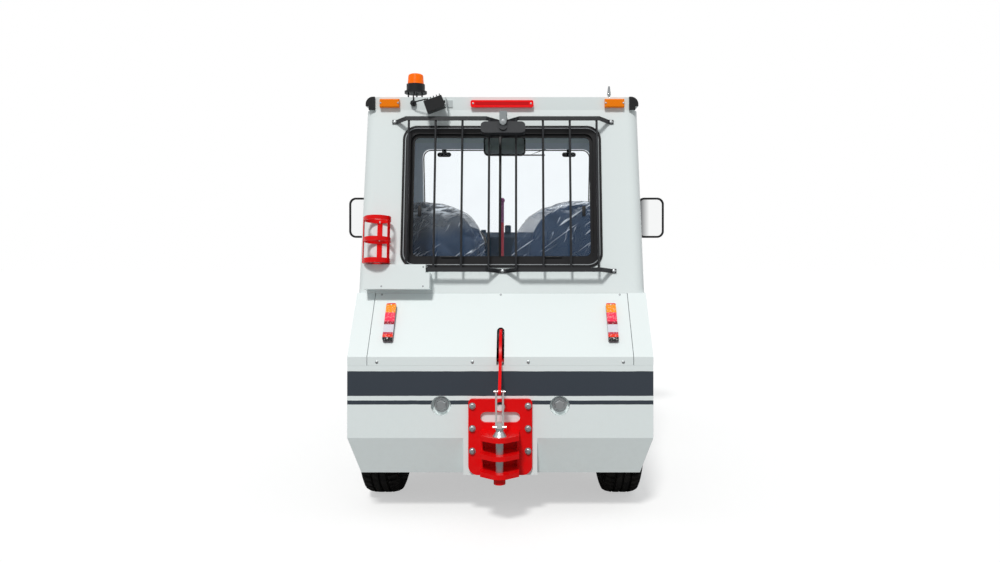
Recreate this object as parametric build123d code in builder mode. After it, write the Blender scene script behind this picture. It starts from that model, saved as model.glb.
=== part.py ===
from build123d import *
import os
from math import atan2, cos, degrees, radians, sin, sqrt, tan

# Airport baggage tug with a closed two-seat cab, four-wheel drive and a stepped rear coupling.
# Frame: +Y is the driving direction, +X the driver's right-hand side, +Z up. The origin is on
# the ground under the middle of the overall length. All sizes are in millimetres.

os.makedirs("parts", exist_ok=True)

# ---------------------------------------------------------------------------------------------
# Driving dimensions
# ---------------------------------------------------------------------------------------------
body_length = 3000.0  # rear ballast face to front bumper face
body_width = 1500.0
roof_height = 2147.0
wheelbase = 1720.0
rear_overhang = 490.0  # rear ballast face to rear axle
track = 1260.0
skirt_height = 220.0  # lowest edge of the body
crease_height = 406.0  # below it the skirts lean inwards
skirt_lean = 57.0  # how far they lean in
waist_height = 1100.0  # bottom of the cab's walls and windows' belt

gap = 6.0  # between a moving panel and its neighbour
seat_fit = 0.3  # between a piece and what it sits on
panel = 30.0  # lower body panels
wall = 40.0  # cab walls, doors, lids
glass = 6.0
glass_land = 12.0  # how far a pane reaches under its seal

tyre_diameter = 720.0
tyre_width = 212.0
rim_diameter = 398.0
rim_width = 170.0
arch_radius = 415.0
arch_depth = 415.0  # wheel housing, inwards from the body side

# Rear coupling
hitch_reach = 190.0  # nose of the jaw behind the ballast face
jaw_width = 185.0
jaw_side_reach = 135.0
jaw_plate = 23.0
jaw_gap = 62.0
jaw_bottom = 257.0
hitch_plate_size = (312.0, 371.0)
hitch_plate_thick = 16.0
hitch_plate_bottom = 229.0
hitch_bolt_spacing = (272.0, 110.0)
hitch_bolt_hole = 9.0
pin_diameter = 36.0
pin_clearance = 0.5
pin_reach = 138.0  # pin axis behind the ballast face
pin_lift = 187.0  # frees both steps of the jaw

# Front coupling
front_reach = 90.0
front_jaw_bore = 36.0
front_jaw_plate = 20.0
front_jaw_gap = 60.0
front_jaw_bottom = 400.0
front_jaw_width = 110.0

# Cab
rear_lean = 8.7  # degrees, the rear wall leans forwards
screen_lean = 10.0  # degrees, the windscreen leans backwards
tumble = 1.0  # degrees, the side walls lean inwards
roof_thick = 70.0
cab_setback = 230.0  # rear wall behind the ballast face, at the waist
cab_length = 1750.0  # rear wall to windscreen, at the waist
door_front_setback = 230.0  # door's front edge behind the windscreen, at the waist
door_width = 770.0
door_bottom = 622.0
door_top_drop = 38.0  # door top below the eaves
hinge_out = 12.0  # door hinge pin outside the body side
hinge_ahead = 3.0  # and ahead of the door's front edge
floor_height = 640.0
floor_thick = 40.0

# Bonnet
bonnet_rear_height = 1150.0
bonnet_front_height = 1010.0
front_bumper_height = 640.0

# Steering
kingpin_inset = 112.0  # kingpin behind the wheel's middle plane
steering_arm = 150.0

# ---------------------------------------------------------------------------------------------
# Places worked out from them
# ---------------------------------------------------------------------------------------------
half = body_width / 2
y_rear = -(hitch_reach + body_length + front_reach) / 2 + hitch_reach
y_front = y_rear + body_length
y_rear_axle = y_rear + rear_overhang
y_front_axle = y_rear_axle + wheelbase
axle_z = tyre_diameter / 2
eave = roof_height - roof_thick
y_wall = y_rear + cab_setback
y_screen = y_wall + cab_length
y_door_front = y_screen - door_front_setback
y_door_rear = y_door_front - door_width
wheel_x = track / 2


def at_x(x):
    """Plane across the body at x: sketches are in (Y, Z) and extrude towards +X."""
    return Plane.YZ.offset(x)


def at_y(y):
    """Plane along the body at y: sketches are in (X, Z) and extrude towards -Y."""
    return Plane.XZ.offset(-y)


def at_z(z):
    return Plane.XY.offset(z)


# Planes of the cab's leaning rear wall and windscreen. Each sketch is in (along the wall, up the wall) from
# the waist, and a negative extrude goes into the cab.
rear_plane = Plane(
    origin=(0, y_wall, waist_height),
    x_dir=(1, 0, 0),
    z_dir=(0, -cos(radians(rear_lean)), sin(radians(rear_lean))),
)
screen_plane = Plane(
    origin=(0, y_screen, waist_height),
    x_dir=(-1, 0, 0),
    z_dir=(0, cos(radians(screen_lean)), sin(radians(screen_lean))),
)


def rear_wall_y(z):
    """Outer face of the rear wall at height z."""
    return y_wall + (z - waist_height) * tan(radians(rear_lean))


def screen_y(z):
    """Outer face of the windscreen wall at height z."""
    return y_screen - (z - waist_height) * tan(radians(screen_lean))


def side_x(z):
    """Outer face of the cab's right-hand side at height z."""
    return half - max(0.0, z - waist_height) * tan(radians(tumble))


def up_rear(z):
    """Distance up the rear wall's plane to height z."""
    return (z - waist_height) / cos(radians(rear_lean))


def up_screen(z):
    return (z - waist_height) / cos(radians(screen_lean))


def write(piece, label):
    piece.part.label = label
    export_step(piece.part, f"parts/{label}.step")


# ---------------------------------------------------------------------------------------------
# Wheels
# ---------------------------------------------------------------------------------------------
rim_lip = 12.0  # rim flange above the bead seat
disc_thick = 10.0
disc_offset = 30.0  # wheel disc outside the wheel's middle plane
hub_bore = 140.0
stud_circle = 190.0
stud_count = 6
hub_diameter = 138.0
hub_length = 96.0
bead_width = rim_width - 24.0


def tyre_solid(x, y):
    """Road tyre about the axle at (x, y). Its tread is cut in the finished surface only."""
    r = tyre_diameter / 2
    w = tyre_width / 2
    bead = rim_diameter / 2
    with BuildPart() as tyre:
        with BuildSketch(at_y(y)):
            Polygon(
                (x - bead_width / 2, axle_z + bead),
                (x - bead_width / 2, axle_z + bead + rim_lip),
                (x - w, axle_z + bead + 0.45 * (r - bead)),
                (x - w + 6, axle_z + r - 42),
                (x - w + 28, axle_z + r),
                (x + w - 28, axle_z + r),
                (x + w - 6, axle_z + r - 42),
                (x + w, axle_z + bead + 0.45 * (r - bead)),
                (x + bead_width / 2, axle_z + bead + rim_lip),
                (x + bead_width / 2, axle_z + bead),
                align=None,
            )
        revolve(axis=Axis((x, y, axle_z), (1, 0, 0)))
    return tyre


def rim_solid(x, y, side):
    """Steel disc wheel: rolled rim with two flanges, dished disc with studs and hand holes."""
    outer = rim_diameter / 2 - seat_fit
    w = rim_width / 2
    lip = rim_lip
    with BuildPart() as rim:
        with BuildSketch(at_y(y)):
            Polygon(
                (x - w, axle_z + outer + lip),
                (x - w, axle_z + outer - 14),
                (x - w + 26, axle_z + outer - 26),
                (x + w - 26, axle_z + outer - 26),
                (x + w, axle_z + outer - 14),
                (x + w, axle_z + outer + lip),
                (x + bead_width / 2 + seat_fit, axle_z + outer + lip),
                (x + bead_width / 2 + seat_fit, axle_z + outer),
                (x - bead_width / 2 - seat_fit, axle_z + outer),
                (x - bead_width / 2 - seat_fit, axle_z + outer + lip),
                align=None,
            )
        revolve(axis=Axis((x, y, axle_z), (1, 0, 0)))
        face_x = x + side * disc_offset
        with BuildSketch(at_y(y)):
            Polygon(
                (face_x, axle_z + hub_bore / 2),
                (face_x, axle_z + stud_circle / 2 + 26),
                (face_x - side * 34, axle_z + outer - 20),
                (face_x - side * (34 + disc_thick), axle_z + outer - 20),
                (face_x - side * disc_thick, axle_z + stud_circle / 2 + 22),
                (face_x - side * disc_thick, axle_z + hub_bore / 2),
                align=None,
            )
        revolve(axis=Axis((x, y, axle_z), (1, 0, 0)))
        hub_face = Plane(origin=(face_x, y, axle_z), x_dir=(0, 1, 0), z_dir=(side, 0, 0))
        with BuildSketch(hub_face):
            with PolarLocations(stud_circle / 2 + 50, 8, start_angle=22.5):
                Circle(15)
        extrude(amount=-80, mode=Mode.SUBTRACT)
        with BuildSketch(hub_face):
            Circle(hub_diameter / 2 - 18)
        with BuildSketch(hub_face.offset(hub_length / 3)):
            Circle(hub_diameter / 2 - 24)
        loft()
        with BuildSketch(hub_face.offset(-disc_thick)):
            Circle(hub_bore / 2 + 6)
        extrude(amount=disc_thick)
        with BuildSketch(hub_face):
            with PolarLocations(stud_circle / 2, stud_count):
                RegularPolygon(15, 6)
        extrude(amount=16)
    return rim


wheel_table = [
    # name, side (+1 right), axle
    ("rear_left", -1, y_rear_axle),
    ("rear_right", 1, y_rear_axle),
    ("front_left", -1, y_front_axle),
    ("front_right", 1, y_front_axle),
]
for wheel_name, side, y_axle in wheel_table:
    write(tyre_solid(side * wheel_x, y_axle), f"tyre_{wheel_name}")
    write(rim_solid(side * wheel_x, y_axle, side), f"rim_{wheel_name}")

# ---------------------------------------------------------------------------------------------
# Chassis, axles and driveline
# ---------------------------------------------------------------------------------------------
rail_x = 255.0
rail_width = 70.0
rail_bottom = 470.0
rail_height = 130.0
ballast_thick = 60.0
crossmember_depth = 80.0
axle_tube = 96.0
spring_width = 60.0
spring_length = 680.0
spring_leaf = 12.0
diff_diameter = 250.0
diff_length = 180.0
y_rail_rear = y_rear + 2 * ballast_thick
y_rail_front = y_front - 2 * ballast_thick

# Coupling lever: its eye swings through level, so the lifting rods stay upright.
crosspin_z = 660.0
lug_x = 36.0
lever_thick = 14.0
lever_y = y_rear + 150.0
lever_z = crosspin_z + pin_lift / 2
lever_level = lever_y - y_rear + pin_reach
lever_reach = sqrt(lever_level**2 + (pin_lift / 2) ** 2)
lever_tilt = degrees(atan2(pin_lift / 2, lever_level))
arc_radius = 168.0
bar_depth = 16.0
eye_clearance = 1.5
handle_top = (y_wall + 160.0, waist_height + 490.0)
lever_pin = 20.0

with BuildPart() as chassis_frame:
    with BuildSketch(at_y(y_rail_rear)):
        with Locations((-rail_x, rail_bottom + rail_height / 2), (rail_x, rail_bottom + rail_height / 2)):
            Rectangle(rail_width, rail_height)
            Rectangle(rail_width - 16, rail_height - 16, mode=Mode.SUBTRACT)
    extrude(amount=-(y_rail_front - y_rail_rear))
    for y_cross in (
        y_rail_rear + crossmember_depth / 2,
        y_rear_axle + 0.5 * spring_length + crossmember_depth,
        (y_rear_axle + y_front_axle) / 2 + crossmember_depth,
        y_rail_front - crossmember_depth / 2,
    ):
        with Locations((0, y_cross, rail_bottom + rail_height / 2)):
            Box(2 * rail_x, crossmember_depth, rail_height - 40)
    # End plates that the ballast castings bolt to.
    for y_end in (y_rail_rear + 10, y_rail_front - 10):
        with Locations((0, y_end, rail_bottom + 10)):
            Box(2 * rail_x + 90, 20, 260)
    # Lugs that carry the coupling lever's pivot.
    for x in (-lug_x, lug_x):
        with BuildSketch(at_x(x)):
            with Locations((lever_y, lever_z)):
                Circle(24)
            Polygon(
                (y_rail_rear, rail_bottom + 40),
                (lever_y + 24, rail_bottom + 40),
                (lever_y + 24, lever_z),
                (lever_y - 24, lever_z),
                (y_rail_rear, rail_bottom + 130),
                align=None,
            )
            with Locations((lever_y, lever_z)):
                Circle(lever_pin / 2 + pin_clearance, mode=Mode.SUBTRACT)
        extrude(amount=5, both=True)
write(chassis_frame, "chassis_frame")


def springs(y_axle):
    """Two leaf packs clamped to the axle, with their eyes under the chassis rails."""
    for x in (-rail_x, rail_x):
        for leaf in range(3):
            length = spring_length * (1 - 0.27 * leaf)
            z = rail_bottom - seat_fit - spring_leaf * (leaf + 0.5)
            with Locations((x, y_axle, z)):
                Box(spring_width, length, spring_leaf)
        low = axle_z + axle_tube / 2 - 8
        top = rail_bottom - seat_fit - 3 * spring_leaf
        with Locations((x, y_axle, (low + top) / 2)):
            Box(spring_width + 24, 110, top - low)


def differential(y_axle):
    """Round final-drive housing in the middle of an axle."""
    with Locations((0, y_axle, axle_z)):
        Cylinder(diff_diameter / 2, diff_length, rotation=(90, 0, 0))


with BuildPart() as rear_axle:
    with BuildSketch(at_x(-wheel_x + hub_bore)):
        with Locations((y_rear_axle, axle_z)):
            Circle(axle_tube / 2)
    extrude(amount=2 * (wheel_x - hub_bore))
    differential(y_rear_axle)
    for side in (-1, 1):
        flange = Plane(
            origin=(side * (wheel_x - hub_bore), y_rear_axle, axle_z), x_dir=(0, 1, 0), z_dir=(side, 0, 0)
        )
        with BuildSketch(flange):
            Circle(hub_bore / 2 + 32)
        extrude(amount=hub_bore / 2 + 20)
        with BuildSketch(flange):
            Circle(hub_bore / 2 - 2)
        extrude(amount=hub_bore + disc_offset - disc_thick - seat_fit)
    springs(y_rear_axle)
write(rear_axle, "rear_axle")

kingpin_x = wheel_x - kingpin_inset
kingpin_diameter = 36.0
kingpin_clearance = 0.5
fork_height = 150.0
fork_thick = 26.0

with BuildPart() as front_axle:
    with BuildSketch(at_x(-(kingpin_x - 78))):
        with Locations((y_front_axle, axle_z)):
            Circle(axle_tube / 2)
    extrude(amount=2 * (kingpin_x - 78))
    differential(y_front_axle)
    for side in (-1, 1):
        # Upper and lower ears that hold the kingpins above and below the drive joint.
        for up in (-1, 1):
            z_ear = axle_z + up * (fork_height / 2 + fork_thick / 2 + 1)
            with BuildSketch(at_z(z_ear - fork_thick / 2)):
                with Locations((side * kingpin_x, y_front_axle)):
                    Circle(38)
                with Locations((side * (kingpin_x - 55), y_front_axle)):
                    Rectangle(110, 76)
                with Locations((side * kingpin_x, y_front_axle)):
                    Circle(kingpin_diameter / 2 + kingpin_clearance, mode=Mode.SUBTRACT)
            extrude(amount=fork_thick)
        with Locations((side * (kingpin_x - 98), y_front_axle, axle_z)):
            Box(40, 96, fork_height + 2 * fork_thick + 2)
    springs(y_front_axle)
write(front_axle, "front_axle")


def knuckle_solid(side):
    """Steering knuckle: kingpin, hub carrier and the arm that the track rod pulls."""
    x = side * kingpin_x
    with BuildPart() as knuckle:
        with BuildSketch(at_z(axle_z - fork_height / 2)):
            with Locations((x, y_front_axle)):
                Circle(36)
        extrude(amount=fork_height)
        with BuildSketch(at_z(axle_z - fork_height / 2 - fork_thick - 8)):
            with Locations((x, y_front_axle)):
                Circle(kingpin_diameter / 2)
        extrude(amount=fork_height + 2 * fork_thick + 16)
        carrier = Plane(origin=(x, y_front_axle, axle_z), x_dir=(0, 1, 0), z_dir=(side, 0, 0))
        with BuildSketch(carrier):
            Circle(hub_bore / 2 - 2)
        extrude(amount=wheel_x - kingpin_x + disc_offset - disc_thick - seat_fit)
        with BuildSketch(carrier.offset(46)):
            Circle(hub_bore / 2 + 30)
        extrude(amount=18)
        # Steering arm, level and pointing straight back, with a ball stud hanging from its end.
        with BuildSketch(at_z(axle_z - fork_height / 2 + 6)):
            with Locations((x, y_front_axle - steering_arm / 2)):
                Rectangle(40, steering_arm)
            with Locations((x, y_front_axle - steering_arm)):
                Circle(20)
        extrude(amount=20)
        with BuildSketch(at_z(axle_z - fork_height / 2 - track_rod_eye)):
            with Locations((x, y_front_axle - steering_arm)):
                Circle(ball_stud / 2)
        extrude(amount=track_rod_eye + 10)
    return knuckle


ball_stud = 18.0
track_rod_eye = 30.0
for side, knuckle_name in ((-1, "knuckle_left"), (1, "knuckle_right")):
    write(knuckle_solid(side), knuckle_name)

rod_z = axle_z - fork_height / 2 + 5 - track_rod_eye / 2
with BuildPart() as track_rod:
    with BuildSketch(at_z(rod_z - (track_rod_eye - 6) / 2)):
        with Locations((-kingpin_x, y_front_axle - steering_arm), (kingpin_x, y_front_axle - steering_arm)):
            Circle(20)
    extrude(amount=track_rod_eye - 6)
    with BuildSketch(at_x(-kingpin_x)):
        with Locations((y_front_axle - steering_arm, rod_z)):
            Circle(11)
    extrude(amount=2 * kingpin_x)
    with BuildSketch(at_z(rod_z - track_rod_eye)):
        with Locations((-kingpin_x, y_front_axle - steering_arm), (kingpin_x, y_front_axle - steering_arm)):
            Circle(ball_stud / 2 + kingpin_clearance)
    extrude(amount=2 * track_rod_eye, mode=Mode.SUBTRACT)
write(track_rod, "track_rod")

engine_size = (380.0, 560.0, 470.0)
engine_bottom = axle_z + 140.0
gearbox_size = (280.0, 420.0, 260.0)
shaft_diameter = 60.0
y_engine = y_front_axle + 90.0
y_gearbox = y_engine - engine_size[1] / 2 - gearbox_size[1] / 2 + 1
with BuildPart() as driveline:
    with Locations((0, y_engine, engine_bottom + engine_size[2] / 2)):
        Box(*engine_size)
    # Engine mounts between the chassis rails.
    with Locations((0, y_engine, rail_bottom + rail_height / 2)):
        Box(2 * (rail_x - rail_width / 2 - seat_fit), 90, rail_height - 60)
    with Locations((0, y_gearbox, floor_height - floor_thick - 20 - gearbox_size[2] / 2)):
        Box(*gearbox_size)
    y_back = y_gearbox - gearbox_size[1] / 2
    rear_shaft = Plane(origin=(0, y_back + 10, axle_z + 40), x_dir=(1, 0, 0), z_dir=(0, -1, -0.04))
    with BuildSketch(rear_shaft):
        Circle(shaft_diameter / 2)
    extrude(amount=y_back - y_rear_axle - 128)
write(driveline, "driveline")

# ---------------------------------------------------------------------------------------------
# Ballast castings at both ends
# ---------------------------------------------------------------------------------------------
ballast_top = 734.0
ledge_height = 27.0
pad_half = 181.0  # upright pad in the middle that carries the coupling
pad_radius = 60.0
lower_lean = 60.0  # the skirts lean inwards on both sides of the pad
cup_x = 291.0
cup_z = 563.0
cup_radius = 49.0
cup_depth = 34.0
hitch_bolt_z = 457.0  # middle row
hitch_bolts = [
    (side * hitch_bolt_spacing[0] / 2, hitch_bolt_z + row * hitch_bolt_spacing[1])
    for side in (-1, 1)
    for row in (-1, 0, 1)
]


def ballast_section(top, inset=0.0):
    """Outline across the body: upright above the crease, leaning inwards below it."""
    x = half - inset
    Polygon(
        (-x, top),
        (-x, crease_height),
        (-x + skirt_lean, skirt_height),
        (x - skirt_lean, skirt_height),
        (x, crease_height),
        (x, top),
        align=None,
    )


with BuildPart() as rear_counterweight:
    with BuildSketch(at_y(y_rear)):
        ballast_section(ballast_top)
    extrude(amount=-2 * ballast_thick)
    with BuildSketch(at_z(ballast_top)):
        with Locations((0, y_rear + ballast_thick)):
            Rectangle(body_width - 2, 2 * ballast_thick)
    extrude(amount=ledge_height)
    with BuildSketch(at_x(-half)):
        Polygon(
            (y_rear, crease_height),
            (y_rear + lower_lean, skirt_height),
            (y_rear - 1, skirt_height - 1),
            (y_rear - 1, crease_height),
            align=None,
        )
    extrude(amount=body_width, mode=Mode.SUBTRACT)
    with BuildSketch(at_y(y_rear)):
        Polygon(
            (-pad_half, skirt_height + 6),
            (-pad_half, crease_height + pad_radius),
            (pad_half, crease_height + pad_radius),
            (pad_half, skirt_height + 6),
            align=None,
        )
    extrude(amount=-lower_lean)
    with BuildSketch(at_y(y_rear)):
        with Locations((-cup_x, cup_z), (cup_x, cup_z)):
            Circle(cup_radius)
    extrude(amount=-cup_depth, mode=Mode.SUBTRACT)
    with BuildSketch(at_y(y_rear)):
        with Locations(*hitch_bolts):
            Circle(hitch_bolt_hole)
    extrude(amount=-ballast_thick, mode=Mode.SUBTRACT)
write(rear_counterweight, "rear_counterweight")

with BuildPart() as front_bumper:
    with BuildSketch(at_y(y_front - 2 * ballast_thick)):
        ballast_section(front_bumper_height)
    extrude(amount=-2 * ballast_thick)
    fillet(front_bumper.faces().sort_by(Axis.Y)[-1].edges().filter_by(Axis.Z), radius=40)
write(front_bumper, "front_bumper")

# ---------------------------------------------------------------------------------------------
# Body sides: rear quarters, sills with step wells, front wings and wheel housings
# ---------------------------------------------------------------------------------------------
lip_height = 803.0  # rear cover's upright lip ends here and the slope starts
cover_half = half - 95.0
liner = 10.0
y_body_rear = y_rear + 2 * ballast_thick + seat_fit
y_body_front = y_front - 2 * ballast_thick - seat_fit
y_nose = y_front - 50.0  # nose panel above the front bumper
bumper_seat = front_bumper_height + seat_fit
ledge_seat = ballast_top + ledge_height + seat_fit
cowl_y = y_screen + 44.0


def side_section(top):
    """Both body sides across the body, each one panel thick."""
    for side in (-1, 1):
        Polygon(
            (side * half, top),
            (side * half, crease_height),
            (side * (half - skirt_lean), skirt_height),
            (side * (half - skirt_lean - panel), skirt_height),
            (side * (half - panel), crease_height + 4),
            (side * (half - panel), top),
            align=None,
        )


def arch_cut(y_axle):
    """Wheel opening right across the body."""
    with Locations((0, y_axle, axle_z)):
        Cylinder(arch_radius, body_width + 2, rotation=(0, 90, 0), mode=Mode.SUBTRACT)
    with Locations((0, y_axle, axle_z - arch_radius / 2)):
        Box(body_width + 2, 2 * arch_radius, arch_radius, mode=Mode.SUBTRACT)


with BuildPart() as rear_quarters:
    with BuildSketch(at_y(y_rear)):
        side_section(waist_height)
    extrude(amount=-(y_door_rear - gap - y_rear))
    with BuildSketch(at_x(-half)):
        Polygon(
            (y_body_rear, skirt_height),
            (y_body_rear, ledge_seat),
            (y_rear, ledge_seat),
            (y_rear, lip_height),
            (y_wall, waist_height),
            (y_door_rear - gap, waist_height),
            (y_door_rear - gap, skirt_height),
            align=None,
        )
    extrude(amount=body_width, mode=Mode.INTERSECT)
    arch_cut(y_rear_axle)
    # Borders beside the rear cover: lip and slope, folded in from the side panels.
    for side in (-1, 1):
        with BuildSketch(at_x(side * (half - panel) - (half - panel - cover_half) / 2 * side)):
            Polygon(
                (y_rear, ledge_seat),
                (y_rear, lip_height),
                (y_wall, waist_height),
                (y_wall + panel, waist_height),
                (y_wall + panel, waist_height - panel),
                (y_rear + panel, lip_height - 10),
                (y_rear + panel, ledge_seat),
                align=None,
            )
        extrude(amount=(half - panel - cover_half) / 2, both=True)
write(rear_quarters, "rear_quarters")

sill_z = 430.0
sill_in = 190.0
sill_top = door_bottom - gap
y_sill_rear = y_door_rear - gap + seat_fit
y_sill_front = y_door_front + gap - seat_fit
with BuildPart() as sills:
    with BuildSketch(at_y(y_sill_rear)):
        for side in (-1, 1):
            Polygon(
                (side * half, sill_z),
                (side * half, crease_height),
                (side * (half - skirt_lean), skirt_height),
                (side * (half - skirt_lean - panel), skirt_height),
                (side * (half - panel), crease_height - 6),
                (side * (half - sill_in - panel), crease_height - 6),
                (side * (half - sill_in - panel), sill_top),
                (side * (half - sill_in), sill_top),
                (side * (half - sill_in), sill_z),
                align=None,
            )
    extrude(amount=-(y_sill_front - y_sill_rear))
    for y_end in (y_sill_rear + panel / 2, y_sill_front - panel / 2):
        for side in (-1, 1):
            with Locations((side * (half - sill_in / 2), y_end, (sill_z + sill_top) / 2)):
                Box(sill_in, panel, sill_top - sill_z)
write(sills, "sills")


def bonnet_z(y):
    """Top of the front body at y."""
    return bonnet_rear_height - (y - cowl_y) * (bonnet_rear_height - bonnet_front_height) / (y_nose - cowl_y)


lid_half = half - 270.0
hinge_heights = (waist_height - 300.0, waist_height + 100.0, eave - 177.0)
hinge_radius = 8.0
hinge_leaf = 34.0
hinge_barrel = 50.0
pillar_barrel = 22.0


def pillar_hinge(z):
    """Fixed halves of the door hinges at height z, above and below the doors' barrels."""
    for side in (-1, 1):
        x_pin = side * (half + hinge_out)
        x_face = side * (side_x(z) - 4)
        for up in (-1, 1):
            z_half = z + up * (hinge_barrel / 2 + seat_fit + pillar_barrel / 2)
            with Locations((x_pin, y_door_front + hinge_ahead, z_half)):
                Cylinder(hinge_radius, pillar_barrel)
            with Locations(((x_pin + x_face) / 2, y_door_front + hinge_ahead + hinge_leaf / 2, z_half)):
                Box(abs(x_pin - x_face), hinge_leaf, pillar_barrel)


with BuildPart() as front_wings:
    y_start = y_door_front + gap
    with BuildSketch(at_y(y_start)):
        side_section(bonnet_rear_height)
    extrude(amount=-(y_nose - y_start))
    # Tops between the sides and the bonnet.
    for side in (-1, 1):
        x_mid = side * (half - panel + lid_half + gap) / 2
        with BuildSketch(at_x(x_mid)):
            Polygon(
                (cowl_y, bonnet_z(cowl_y)),
                (y_nose, bonnet_z(y_nose)),
                (y_nose, bonnet_z(y_nose) - panel),
                (cowl_y, bonnet_z(cowl_y) - panel),
                align=None,
            )
        extrude(amount=(half - panel - lid_half - gap) / 2, both=True)
    with BuildSketch(at_x(-half)):
        Polygon(
            (y_start, skirt_height),
            (y_start, waist_height),
            (y_screen, waist_height),
            (cowl_y, waist_height),
            (cowl_y, bonnet_z(cowl_y)),
            (y_nose, bonnet_z(y_nose)),
            (y_nose, bumper_seat),
            (y_body_front, bumper_seat),
            (y_body_front, skirt_height),
            align=None,
        )
    extrude(amount=body_width, mode=Mode.INTERSECT)
    arch_cut(y_front_axle)
    pillar_hinge(hinge_heights[0])
write(front_wings, "front_wings")

with BuildPart() as wheel_housings:
    for y_axle in (y_rear_axle, y_front_axle):
        for side in (-1, 1):
            x_mid = side * (half - panel - seat_fit - (arch_depth - panel) / 2)
            with BuildSketch(at_x(x_mid)):
                with Locations((y_axle, axle_z)):
                    Circle(arch_radius + liner)
                    Circle(arch_radius, mode=Mode.SUBTRACT)
                with Locations((y_axle, crease_height + 6 - arch_radius)):
                    Rectangle(3 * arch_radius, 2 * arch_radius, mode=Mode.SUBTRACT)
            extrude(amount=(arch_depth - panel) / 2, both=True)
            with BuildSketch(at_x(side * (half - arch_depth - liner / 2 - seat_fit))):
                with Locations((y_axle, axle_z)):
                    Circle(arch_radius + liner)
                with Locations((y_axle, axle_z + (axle_tube + 200) / 2 - arch_radius)):
                    Rectangle(3 * arch_radius, 2 * arch_radius, mode=Mode.SUBTRACT)
            extrude(amount=liner / 2, both=True)
    # The ballast casting closes the rear housings at the back.
    with Locations((0, y_body_rear - arch_radius, axle_z)):
        Box(body_width, 2 * arch_radius, 2 * body_width, mode=Mode.SUBTRACT)
write(wheel_housings, "wheel_housings")

# ---------------------------------------------------------------------------------------------
# Nose, bonnet and lamps at the front
# ---------------------------------------------------------------------------------------------
nose_thick = 40.0
grille_size = (560.0, 210.0)
headlamp_radius = 70.0
headlamp_x = half - 230.0
headlamp_z = 800.0
with BuildPart() as nose_panel:
    with BuildSketch(at_y(y_nose + seat_fit)):
        with Locations((0, (bumper_seat + bonnet_z(y_nose)) / 2)):
            Rectangle(body_width, bonnet_z(y_nose) - bumper_seat)
        with Locations((0, headlamp_z)):
            RectangleRounded(*grille_size, 20, mode=Mode.SUBTRACT)
        with Locations((-headlamp_x, headlamp_z), (headlamp_x, headlamp_z)):
            Circle(headlamp_radius + seat_fit, mode=Mode.SUBTRACT)
    extrude(amount=-nose_thick)
    fillet(nose_panel.faces().sort_by(Axis.Y)[-1].edges().filter_by(Axis.Z), radius=30)
write(nose_panel, "nose_panel")

with BuildPart() as grille:
    with BuildSketch(at_y(y_nose + 10)):
        with Locations((0, headlamp_z)):
            RectangleRounded(grille_size[0] - 2 * seat_fit, grille_size[1] - 2 * seat_fit, 20)
            RectangleRounded(grille_size[0] - 30, grille_size[1] - 30, 8, mode=Mode.SUBTRACT)
    extrude(amount=-30)
    for row in range(6):
        with Locations((0, y_nose + 25, headlamp_z + (row - 2.5) * 30)):
            Box(grille_size[0] - 20, 22, 8)
write(grille, "grille")

with BuildPart() as headlamps:
    with BuildSketch(at_y(y_nose - 30)):
        with Locations((-headlamp_x, headlamp_z), (headlamp_x, headlamp_z)):
            Circle(headlamp_radius)
    extrude(amount=-(nose_thick + 24))
write(headlamps, "headlamps")

lid_thick = 24.0
bonnet_hinge_x = 330.0
bonnet_pin_y = cowl_y + gap
bonnet_pin_z = bonnet_rear_height + 12.0
with BuildPart() as bonnet:
    with BuildSketch(at_x(-lid_half)):
        Polygon(
            (cowl_y + gap, bonnet_z(cowl_y + gap)),
            (y_nose - gap, bonnet_z(y_nose - gap)),
            (y_nose - gap, bonnet_z(y_nose - gap) - lid_thick),
            (cowl_y + gap, bonnet_z(cowl_y + gap) - lid_thick),
            align=None,
        )
    extrude(amount=2 * lid_half)
    for x in (-bonnet_hinge_x, bonnet_hinge_x):
        with Locations((x, bonnet_pin_y, bonnet_pin_z)):
            Cylinder(hinge_radius, hinge_barrel, rotation=(0, 90, 0))
        with Locations((x, bonnet_pin_y + 14, bonnet_pin_z - 4)):
            Box(hinge_barrel, 28, 8)
        with Locations((x, bonnet_pin_y + 20, bonnet_pin_z - 15)):
            Box(hinge_barrel, 16, 22)
write(bonnet, "bonnet")


# ---------------------------------------------------------------------------------------------
# Cab shell, roof, doors and panes
# ---------------------------------------------------------------------------------------------
corner = 60.0
y_eave_rear = rear_wall_y(eave)
y_eave_screen = screen_y(eave)
window_half = 530.0  # outer edge of the rear window's seal
window_low = waist_height + 132.0
window_high = eave - 88.0
window_radius = 62.0
seal_width = 45.0
seal_lip = 5.0
seal_over = 14.0  # how far the seal laps over the wall
screen_half = half - 143.0
screen_low = waist_height + 190.0
screen_high = eave - 38.0
quarter_front = y_door_rear - 90.0
quarter_rear = 110.0  # behind the rear wall's outer face
quarter_low = waist_height + 140.0
quarter_high = eave - 117.0


def cab_outline(z, inset):
    """Rounded outline of the cab at height z."""
    y0, y1 = rear_wall_y(z) + inset, screen_y(z) - inset
    with Locations((0, (y0 + y1) / 2)):
        RectangleRounded(2 * (side_x(z) - inset), y1 - y0, corner - inset * 0.9)


def window_outline(half_width, low, high, radius, plane_up):
    with Locations((0, (plane_up(low) + plane_up(high)) / 2)):
        RectangleRounded(2 * half_width, plane_up(high) - plane_up(low), radius)


def quarter_outline(inset):
    """Side pane behind the door, its rear edge parallel to the rear wall."""
    Polygon(
        (quarter_front - inset, quarter_low + inset),
        (quarter_front - inset, quarter_high - inset),
        (rear_wall_y(quarter_high) + quarter_rear + inset, quarter_high - inset),
        (rear_wall_y(quarter_low) + quarter_rear + inset, quarter_low + inset),
        align=None,
    )


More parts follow.
